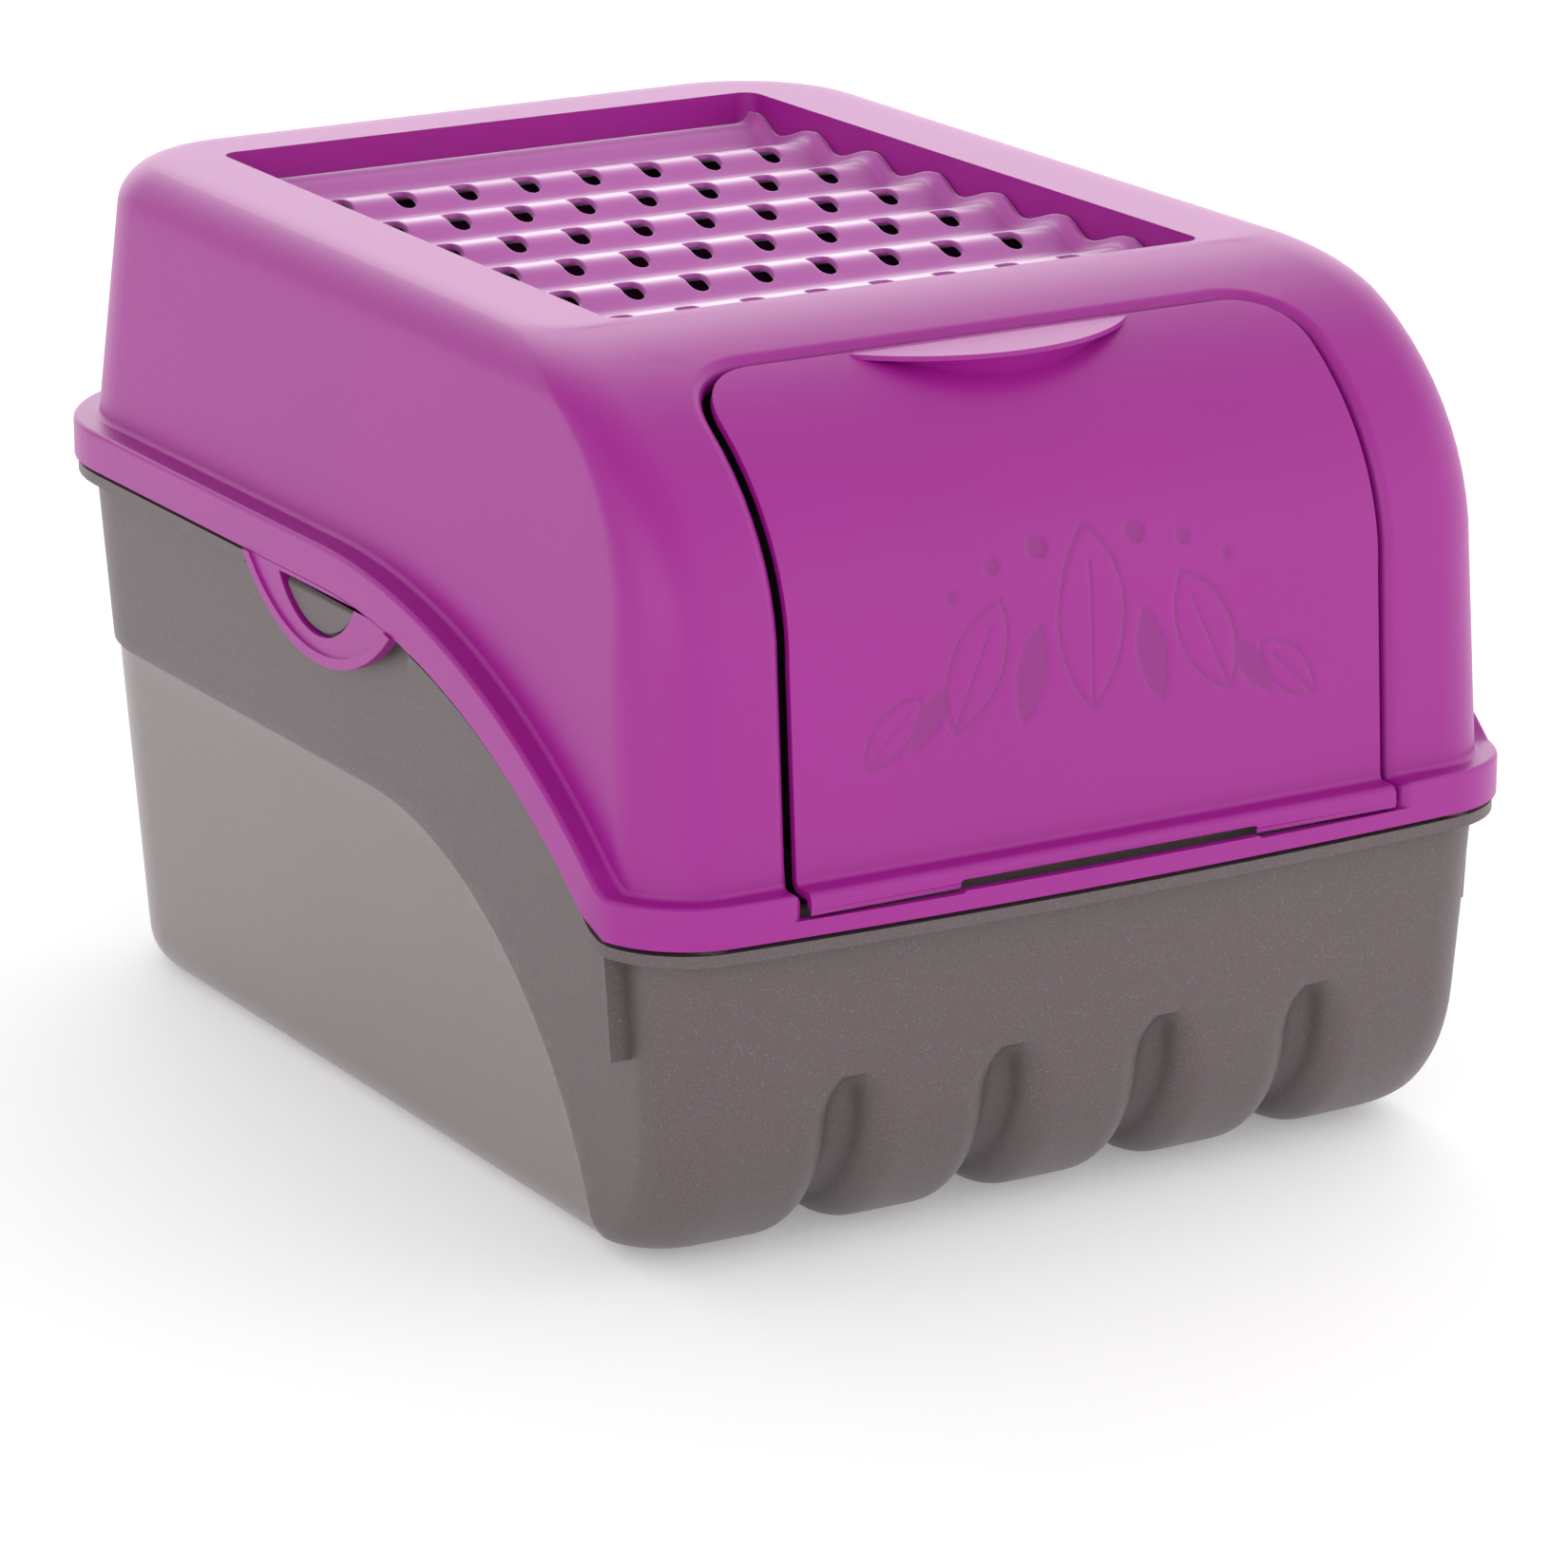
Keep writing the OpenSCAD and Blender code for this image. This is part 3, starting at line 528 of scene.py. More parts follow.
def hoodShell():
    cells = 6  # along each side of the doorway's round corners
    slotX = flap["slotHalf"]
    xs = [0.0] + steps(0, slotX - 0.5, 8) + [slotX + 0.5]
    xs += steps(slotX + 0.5, cornerX, 5) + steps(cornerX, doorX, cells)
    columns = [("x", x) for x in xs]
    columns += [("wing", s, doorX) for s in steps(0, 1, 4)]
    columns += [("frontCorner", s) for s in steps(0, 1, 12)]
    sideStart = rim["frontR"]
    sideEnd = rim["depth"] - rim["backR"]
    levelShare = (rim["levelY"] - sideStart) / (sideEnd - sideStart)
    columns += [("side", s) for s in steps(0, levelShare, 24) + steps(levelShare, 1, 12)]
    columns += [("backCorner", s) for s in steps(0, 1, 12)]
    columns += [("back", s) for s in steps(0, 1, 10)]
    doorColumn = len(xs) - 1
    cornerColumn = doorColumn - cells

    lowHeight = heightAtY(cornerY)
    doorHeight = heightAtY(flap["topY"] + flap["gap"] + flap["doorRoll"])
    capHeight = heightAtY(tray["capY"])
    heights = [-1.0] + steps(-1, 0, 9) + steps(0, lowHeight, 10)
    heights += steps(lowHeight, doorHeight, cells) + steps(doorHeight, capHeight, 6)
    lowRow = 1 + 9 + 10 - 1
    doorRow = lowRow + cells
    capShares = [0.12, 0.3, 0.5, 0.7, 0.88, 1.0]

    rimRows = 3
    wallRow = rimRows  # the grid's row at the wall's foot
    rowCount = rimRows + len(heights) + len(capShares) + 1
    bm = bmesh.new()
    mark = bm.verts.layers.int.new("mark")
    rows = gridRows(bm, len(columns), rowCount)

    # The front is laid out flat first, as (x, length), to round the doorway's corners
    for j, height in enumerate(heights):
        row = rows[wallRow + j]
        for i, column in enumerate(columns):
            x = column[1] if column[0] == "x" else doorX + 5 * (i - doorColumn)
            row[i].co = Vector((x, lengthAtHeight(height), 0))
    path = [rows[wallRow + lowRow + i][doorColumn] for i in range(cells + 1)]
    path += [rows[wallRow + doorRow][doorColumn - i] for i in range(1, cells + 1)]
    roundDoorCorner(path, flap["cornerR"] + flap["gap"] + flap["doorRoll"])
    held = set(path) | {row[doorColumn] for row in rows} | set(rows[wallRow + doorRow][:doorColumn])
    loose = [v for row in rows[wallRow + lowRow - 5:wallRow + doorRow + 5]
             for v in row[cornerColumn - 4:doorColumn + 3] if v not in held]
    evenOut(bm, loose, 40)

    capZ = profileAt(capHeight)[1]
    for j, height in enumerate(heights):
        row = rows[wallRow + j]
        level = (profileAt(height)[1] - footZ) / (capZ - footZ)
        for i, column in enumerate(columns):
            vert = row[i]
            if column[0] == "x":
                vert.co = frontSkin(vert.co.x, vert.co.y)
                continue
            if column[0] == "wing":
                drift = vert.co.x - (doorX + 5 * (i - doorColumn))
                z = frontSkin(0, vert.co.y).z
                x, y = outlinePoint(column, hoodOutline(z))
                vert.co = Vector((x + drift, y, z))
                continue
            foot = hoodFootZ(column)
            z = mix(foot, capZ, level)
            x, y = outlinePoint(column, hoodOutline(z))
            vert.co = Vector((x, y, z))
    for i, column in enumerate(columns):
        rows[0][i].co = rimPoint(column, 0, 0, rim["height"])
        middle = rimPoint(column, 0, rim["middleUp"], rim["height"])
        if column[0] == "x":
            middle.z = rim["frontZ"] + (rim["slotUp"] if column[1] < slotX else rim["sillUp"])
        rows[1][i].co = middle
        rows[2][i].co = rimPoint(column, 0, rim["height"], rim["height"])

    # The flat top runs from the last ring to the tray's edge
    topRow = rows[wallRow + len(heights) - 1]
    edge = trayOutline()
    for i, column in enumerate(columns):
        trayColumn = column
        if column[0] == "x":
            trayColumn = ("x", column[1] * (edge[0] - edge[4]) / doorX)
        elif column[0] == "wing":
            trayColumn = ("frontCorner", column[1] * tray["wingShare"])
        elif column[0] == "frontCorner":
            trayColumn = ("frontCorner", mix(tray["wingShare"], 1, column[1]))
        tx, ty = outlinePoint(trayColumn, edge)
        start = topRow[i].co.copy()
        sideShare = {"x": 0.0, "wing": 0.0, "frontCorner": column[1]}.get(column[0], 1.0)
        reach = mix(curveY - tray["capY"], tray["capReach"], sideShare)
        for k, share in enumerate(capShares):
            x, y = mix(start.x, tx, share), mix(start.y, ty, share)
            gone = min(1.0, math.hypot(x - start.x, y - start.y) / reach)
            z = hood["height"] - (hood["height"] - capZ) * (1 - gone) ** 2
            rows[wallRow + len(heights) + k][i].co = Vector((x, y, z))
        rows[-1][i].co = Vector((tx, ty, hood["height"] - tray["depth"] - tray["floor"]))

    # The doorway
    block = {v for row in rows[1:wallRow + doorRow + 1] for v in row[:doorColumn + 1]}
    inside = [f for f in bm.faces if block.issuperset(f.verts)]
    markLine(rows[2][doorColumn:], mark, 1)
    markLine(rows[3][doorColumn:], mark, 2)
    doorEdge = [row[doorColumn] for row in rows[1:wallRow + doorRow]]
    doorEdge += rows[wallRow + doorRow][doorColumn::-1]
    bmesh.ops.delete(bm, geom=inside, context="FACES")
    rollDoorEdge(bm, doorEdge)
    mirrorHalf(bm)
    roundEdges(bm, markedEdges(bm, mark, 1), rim["topRounding"], 6)
    roundEdges(bm, markedEdges(bm, mark, 2), rim["footFillet"], 3)
    return bm


# Rolls an edge of the doorway inwards: a quarter turn with a short straight end.
def rollDoorEdge(bm, line):
    bm.normal_update()
    start = [v.co.copy() for v in line]
    inward = [-v.normal for v in line]
    ahead = [b - a for a, b in zip([start[0]] + start, start[1:] + [start[-1]])]
    ahead[-1] = Vector((-1, 0, 0))
    radius = flap["doorRoll"]
    turns = steps(0, math.pi / 2, 6)
    for k in range(len(turns) + 1):
        edges = [e for a, b in zip(line[:-1], line[1:]) for e in a.link_edges if e.other_vert(a) is b]
        made = bmesh.ops.extrude_edge_only(bm, edges=edges)["geom"]
        fresh = set(v for v in made if isinstance(v, bmesh.types.BMVert))
        line = [[e.other_vert(v) for e in v.link_edges if e.other_vert(v) in fresh][0] for v in line]
        turn = turns[min(k, len(turns) - 1)]
        deep = radius * (1 - math.cos(turn)) + (flap["doorStraight"] if k == len(turns) else 0.0)
        for vert, place, into, along in zip(line, start, inward, ahead):
            vert.co = place + along.cross(into).normalized() * radius * math.sin(turn) + into * deep
    line[-1].co.x = 0.0


# Height of the wall's foot: the ledge follows the rim.
def hoodFootZ(column):
    z = footZ
    for i in range(4):
        y = outlinePoint(column, hoodOutline(z))[1]
        z = rimZ(y, rim["height"])
    return z


hoodPiece = makePiece(hoodShell(), "hoodShell", purple, "hood", ["hood"])
giveWall(hoodPiece, hood["wall"])
softenEdges(hoodPiece, 0.8)
print("hood ready")


# The front flap, with its finger grip and a row of plain leaves pressed into it

leaves = {
    # each leaf stands at x, its middle at a length up the flap, on both sides
    # of the middle: x, length, long, half width, lean in degrees, filled or outlined
    "outlined": [(0.0, 54.0, 46.0, 9.5, 0.0), (33.0, 46.0, 34.0, 7.5, -24.0), (57.0, 33.0, 22.0, 5.0, -46.0)],
    "filled": [(17.5, 42.0, 26.0, 4.6, -12.0), (46.5, 35.0, 19.0, 3.6, -36.0)],
    "berries": [(14.0, 73.0, 3.0), (27.5, 70.0, 2.2), (39.5, 64.0, 1.6)],
    "low": 16.0,  # they lie between these lengths up the flap
    "high": 84.0,
    "half": 66.0,
    "stroke": 1.1,
    "depth": 0.34,
    "soft": 0.55,
}


# Distance outside the outline of a leaf between two arcs, and the way along
# and across it.
def leafDistance(x, length, leaf):
    leafX, leafLength, long, half, lean = leaf
    turn = math.radians(lean)
    dx, dy = x - leafX, length - leafLength
    across = dx * math.cos(turn) - dy * math.sin(turn)
    along = dx * math.sin(turn) + dy * math.cos(turn)
    radius = (long ** 2 / 4 + half ** 2) / (2 * half)
    return math.hypot(along, abs(across) + radius - half) - radius, along, across


# How deep the leaves are pressed into the flap at a place.
def pressedDepth(x, length):
    x = abs(x)
    if length < leaves["low"] or length > leaves["high"] or x > leaves["half"]:
        return 0.0
    stroke = leaves["stroke"] / 2
    away = 9.0
    for leaf in leaves["outlined"]:
        outside, along, across = leafDistance(x, length, leaf)
        away = min(away, abs(outside) - stroke)
        if -leaf[2] * 0.5 < along < leaf[2] * 0.3:
            away = min(away, abs(across) - stroke * 0.8)
    for leaf in leaves["filled"]:
        away = min(away, leafDistance(x, length, leaf)[0])
    for berryX, berryLength, radius in leaves["berries"]:
        away = min(away, math.hypot(x - berryX, length - berryLength) - radius)
    return leaves["depth"] * ease(0.5 - away / leaves["soft"])


# Height of the hood's curved front at a place seen from above.
def skinZ(x, y):
    profileY = y + hood["bow"] * (1 - (x / kneeHalf) ** 2)
    return hood["kneeZ"] + curveB * math.sqrt(1 - ((curveY - profileY) / curveA) ** 2)


# A crescent pad with an overhanging lip, cut straight at the back
def fingerGrip():
    half = flap["gripWidth"] / 2
    radius = (half ** 2 + flap["gripOut"] ** 2) / (2 * flap["gripOut"])
    middle = Vector((0, flap["topY"] - flap["gripOut"] + radius, 0))
    topZ = skinZ(0, flap["topY"]) - flap["gripDrop"]
    bm = bmesh.new()
    bmesh.ops.create_circle(bm, cap_ends=True, segments=260, radius=radius, matrix=Matrix.Translation(middle))
    back = (0, flap["topY"] - flap["gripBack"], 0)
    bmesh.ops.bisect_plane(bm, geom=bm.verts[:] + bm.edges[:] + bm.faces[:], dist=0.0001,
                           plane_co=back, plane_no=(0, 1, 0), clear_outer=True)
    face = bm.faces[:][0]
    for vert in face.verts:
        vert.co -= (vert.co - middle).normalized() * flap["gripUndercut"]
        vert.co.z = skinZ(vert.co.x, vert.co.y) - hood["wall"] / 2
    for place, z in (("wall", topZ - flap["lip"]), ("under", topZ - flap["lip"]), ("lip", topZ)):
        made = bmesh.ops.extrude_face_region(bm, geom=[face])
        bm.faces.remove(face)
        face = [f for f in made["geom"] if isinstance(f, bmesh.types.BMFace)][0]
        for vert in face.verts:
            if place == "wall":
                vert.co += (vert.co - middle).to_2d().normalized().to_3d() * flap["gripUndercut"]
            if place == "under":
                vert.co += (vert.co - middle).to_2d().normalized().to_3d() * flap["lipOver"]
            vert.co.z = z
    bmesh.ops.recalc_face_normals(bm, faces=bm.faces)
    return bm


def frontFlap():
    cells = 8
    xs = [0.0] + steps(0, cornerX, 90) + steps(cornerX, flap["halfWidth"], cells)
    side = len(xs) - 1
    lowLength = lengthAtHeight(heightAtY(cornerY))
    topLength = lengthAtHeight(heightAtY(flap["topY"]))
    lengths = [0.0] + steps(0, leaves["low"], 4) + steps(leaves["low"], leaves["high"], 86)
    lengths += steps(leaves["high"], lowLength, 16) + steps(lowLength, topLength, cells)
    lowRow = len(lengths) - 1 - cells
    footRows = 2
    bm = bmesh.new()
    pressed = bm.verts.layers.float.new("pressed")
    mark = bm.verts.layers.int.new("mark")
    rows = gridRows(bm, len(xs), footRows + len(lengths))
    for j, length in enumerate(lengths):
        for i, x in enumerate(xs):
            rows[footRows + j][i].co = Vector((x, length, 0))
    top = footRows + lowRow + cells
    path = [rows[footRows + lowRow + i][side] for i in range(cells + 1)]
    path += [rows[top][side - i] for i in range(1, cells + 1)]
    roundDoorCorner(path, flap["cornerR"])
    held = set(path) | set(rows[top]) | set(row[side] for row in rows)
    loose = [v for row in rows[footRows + lowRow - 6:] for v in row[side - cells - 12:] if v not in held]
    evenOut(bm, loose, 60)
    for row in rows[footRows:]:
        for vert in row:
            depth = pressedDepth(vert.co.x, vert.co.y)
            vert.co = frontSkin(vert.co.x, vert.co.y, depth)
            vert[pressed] = depth / leaves["depth"]
    faceY = flap["hingeY"] - flap["footAhead"]
    for i, x in enumerate(xs):
        lowZ = flap["hingeZ"] if x > flap["slotHalf"] else flap["slotZ"]
        rows[0][i].co = Vector((x, faceY, lowZ))
        rows[1][i].co = Vector((x, faceY, footZ))
    markLine(rows[1], mark, 1)
    markLine(rows[2], mark, 2)
    mirrorHalf(bm)
    roundEdges(bm, markedEdges(bm, mark, 1), flap["footRounding"], 6)
    roundEdges(bm, markedEdges(bm, mark, 2), rim["footFillet"], 3)
    return bm


flapPiece = makePiece(frontFlap(), "frontFlapShell", purple, "flap", ["front_flap"])
giveWall(flapPiece, hood["wall"])
softenEdges(flapPiece, 0.8)
gripPiece = makePiece(fingerGrip(), "fingerGrip", purple, "flap", ["front_flap"])
softenEdges(gripPiece, 0.7)
print("flap ready")


# The tray's floor: ridges across it, each with a row of slots in its steep flank

grille = {
    "ridge": 4.4,
    "pitch": 31.1,
    "flank": 11.0,
    "firstY": 89.2,
    "thick": 1.8,
    "slotPitch": 18.9,
    "slotsAside": 4,
    "slotWidth": 6.0,
    "slotLength": 9.5,
    "slottedRidges": 6,
    "slotAhead": 1.0,  # from a crest forward to the middle of its slots
    "fillet": 5.0,
}


def ridgeZ(y):
    behind = (y - grille["firstY"]) % grille["pitch"]
    rise = grille["pitch"] - grille["flank"]
    if behind < rise:
        return grille["ridge"] * (1 + math.cos(math.pi * behind / rise)) / 2
    return grille["ridge"] * (1 - math.cos(math.pi * (behind - rise) / grille["flank"])) / 2


def trayFloor():
    across, along = 4, 8  # cells over a slot
    halfSlot, halfLong = grille["slotWidth"] / 2, grille["slotLength"] / 2
    centres = [(s + 0.5) * grille["slotPitch"] for s in range(grille["slotsAside"])]
    xs, slotColumns = [0.0], []
    for centre in centres:
        xs += steps(xs[-1], centre - halfSlot, 4)
        slotColumns.append(len(xs) - 1)
        xs += steps(xs[-1], centre + halfSlot, across)
    last = xs[-1]
    endShares = steps(0, 1, 4)
    turns = steps(0, 84, 5)  # degrees round the fillet at the floor's side
    ys, slotRows = [tray["frontY"]], []
    for ridge in range(1, grille["slottedRidges"] + 1):
        middle = grille["firstY"] + ridge * grille["pitch"] - grille["slotAhead"]
        ys += steps(ys[-1], middle - halfLong, 10)
        slotRows.append(len(ys) - 1)
        ys += steps(ys[-1], middle + halfLong, along)
    ys += steps(ys[-1], tray["backY"], 14)
    columnCount = len(xs) + len(endShares) + len(turns)
    bm = bmesh.new()
    rows = gridRows(bm, columnCount, len(ys))
    floorZ = hood["height"] - tray["depth"]
    r = grille["fillet"]
    for j, y in enumerate(ys):
        share = (y - tray["frontY"]) / (tray["backY"] - tray["frontY"])
        half = mix(tray["frontWidth"], tray["backWidth"], share) / 2
        flat = half - r
        for i, vert in enumerate(rows[j]):
            rise = 0.0
            if i < len(xs):
                x = xs[i]
            elif i < len(xs) + len(endShares):
                x = mix(last, flat, endShares[i - len(xs)])
            else:
                turn = math.radians(turns[i - len(xs) - len(endShares)])
                x = flat + r * math.sin(turn)
                rise = r * (1 - math.cos(turn))
            vert.co = Vector((x, y, rise))
    held, holes = set(), set()
    for left in slotColumns:
        for low in slotRows:
            centre = (rows[low][left].co + rows[low + along][left + across].co) / 2
            for j in range(along + 1):
                for i in range(across + 1):
                    vert = rows[low + j][left + i]
                    held.add(vert)
                    if 0 < j < along and 0 < i < across:
                        holes.add(vert)
                        continue
                    off = vert.co - centre
                    straight = halfLong - halfSlot
                    if abs(off.y) > straight:
                        end = Vector((0, math.copysign(straight, off.y), 0))
                        vert.co = centre + end + (off - end).normalized() * halfSlot
    loose = [v for row in rows[1:-1] for v in row[1:len(xs)] if v not in held]
    evenOut(bm, loose, 6)
    for row in rows:
        for vert in row:
            vert.co.z += floorZ + ridgeZ(vert.co.y)
    bmesh.ops.delete(bm, geom=list(holes), context="VERTS")
    mirrorHalf(bm)
    return bm


grillePiece = makePiece(trayFloor(), "trayFloor", glossyPurpleWithPaintedSheen, "hood", ["vent_grille"])
giveWall(grillePiece, grille["thick"])
softenEdges(grillePiece, 0.45, 2)
print("tray floor ready")


# The tub

tub = {
    "inset": 6.0,
    "frontY": 4.0,
    "backInset": 7.5,
    "draft": 0.056,
    "wall": 2.4,
    "frontR": 16.5,
    "backR": 41.0,
    "bow": 2.0,
    "frontEdgeR": 38.0,
    "floorEdgeR": 10.0,
    "topUp": 8.1,  # how far its wall stands over the rim's lower edge
    "doorDip": 3.0,
    "stepIn": 1.4,  # the lower panel lies this much further in
    "stepSlope": 1.8,
    "stepZ": 92.5,
    "stepR": 110.0,
    "stepY": 155.0,
    "lobePitch": 45.0,
    "lobeFlat": 17.0,
    "grooveDepth": 9.5,
    "lipShare": 0.65,
    "grooveBack": 34.0,
    "flange": 3.0,
    "flangeGap": 1.5,
    "flangeInset": 1.0,
    "finY": 22.5,
    "finInset": 2.9,
    "finThick": 2.4,
    "finZ": 58.0,
    "tabY": 163.0,
    "tabHalf": 43.0,
    "flangeEndGap": 2.0,
}
grooveSide = (tub["lobePitch"] - tub["lobeFlat"]) / 2
grooveSum = (grooveSide ** 2 + tub["grooveDepth"] ** 2) / (2 * tub["grooveDepth"])
lipR = grooveSum * tub["lipShare"]
crownR = grooveSum - lipR
grooveTurn = math.asin(grooveSide / grooveSum)
frontTurn = math.pi / 2 - math.atan(tub["draft"])


def tubHalf(z):
    return rim["halfWidth"] - tub["inset"] - tub["draft"] * (rim["backZ"] - rim["height"] - z)


def tubBackY(z):
    return rim["depth"] - tub["backInset"] - tub["draft"] * (rim["backZ"] - rim["height"] - z)


def edgeIn(z, radius):
    return 0.0 if z >= radius else radius - math.sqrt(radius ** 2 - (radius - z) ** 2)


def tubOutline(z, inward=0.0):
    side = edgeIn(z, tub["floorEdgeR"]) + inward
    front = edgeIn(z, tub["frontEdgeR"]) + inward
    half = tubHalf(z) - side
    frontY = tub["frontY"] + tub["draft"] * (rim["frontZ"] - z) + front
    backY = tubBackY(z) - side
    return (half, half, frontY, backY, tub["frontR"] - inward, tub["backR"] - side, tub["bow"])


# Depth of a groove at a distance from its middle: two lip arcs and a top arc.
def grooveProfile(u):
    u = abs(u)
    if u >= grooveSide:
        return 0.0
    if u <= crownR * math.sin(grooveTurn):
        return tub["grooveDepth"] - crownR + math.sqrt(crownR ** 2 - u ** 2)
    return lipR - math.sqrt(lipR ** 2 - (grooveSide - u) ** 2)


# Depth at x, and at a distance beyond where the groove's round end starts.
def grooveDepth(x, beyond):
    size = 1.0
    if beyond > 0:
        if beyond >= grooveSide:
            return 0.0
        size = math.sqrt(1 - (beyond / grooveSide) ** 2)
    pitch = tub["lobePitch"]
    middle = (math.floor(x / pitch) + 0.5) * pitch
    if middle > 2 * pitch:
        return 0.0
    return size * grooveProfile((x - middle) / size)


# x of the grid's lines over two grooves, closer where they are steep.
def grooveColumns():
    xs = [0.0] + steps(0, tub["lobeFlat"] / 2, 3)
    for groove in range(2):
        middle = (groove + 0.5) * tub["lobePitch"]
        lip = [grooveSide - lipR * math.sin(a) for a in [0] + steps(0, grooveTurn, 7)]
        crown = [crownR * math.sin(a) for a in steps(grooveTurn, -grooveTurn, 14)]
        offsets = [-u for u in lip[1:]] + [-u for u in crown] + lip[::-1][1:]
        xs += [middle + u for u in offsets]
        edge = xs[-1]
        xs += steps(edge, edge + tub["lobeFlat"], 6) if groove == 0 else []
    return xs


# 0 outside the lower panel, 1 inside, and between on the slope round it.
def inPanel(y, z):
    inside = tub["stepZ"] - z
    if y < tub["stepY"]:
        inside = tub["stepR"] - math.hypot(y - tub["stepY"], z - tub["stepZ"] + tub["stepR"])
    return min(1.0, max(0.0, inside / tub["stepSlope"]))


# Cuts the side along the panel's edge and along the foot of its slope.
def cutPanelEdge(bm):
    centre = Vector((0, tub["stepY"], tub["stepZ"] - tub["stepR"]))
    lowTurn = math.pi - math.asin(-centre.z / tub["stepR"]) + 0.03

    def cut(place, normal, chosen):
        faces = [f for f in bm.faces if chosen(f)]
        geom = faces + list({e for f in faces for e in f.edges}) + list({v for f in faces for v in f.verts})
        bmesh.ops.bisect_plane(bm, geom=geom, plane_co=place, plane_no=normal, dist=0.002)

    def spread(face):
        away = [math.hypot(v.co.y - centre.y, v.co.z - centre.z) for v in face.verts]
        return min(away) < tub["stepR"] + 3 and max(away) > tub["stepR"] - 6

    def onSide(face):
        middle = face.calc_center_median()
        near = 20 < middle.y < tub["stepY"] + 8 and middle.x > 80
        return near and abs(face.normal.x) > 0.05 and spread(face)

    turns = [math.pi / 2] + steps(math.pi / 2, lowTurn, 26)
    for turn in turns:
        cut(centre, Vector((0, -math.sin(turn), math.cos(turn))), onSide)
    for start, end in zip(turns[:-1], turns[1:]):
        def inSector(face):
            middle = face.calc_center_median()
            turn = math.atan2(middle.z - centre.z, middle.y - centre.y)
            return start < turn < end and onSide(face)
        half = (start + end) / 2
        normal = Vector((0, math.cos(half), math.sin(half)))
        for radius in (tub["stepR"], tub["stepR"] - tub["stepSlope"]):
            place = centre + Vector((0, math.cos(start), math.sin(start))) * radius
            cut(place, normal, inSector)
    for z in (tub["stepZ"], tub["stepZ"] - tub["stepSlope"]):
        cut(Vector((0, 0, z)), Vector((0, 0, 1)), lambda f: f.calc_center_median().y > tub["stepY"])


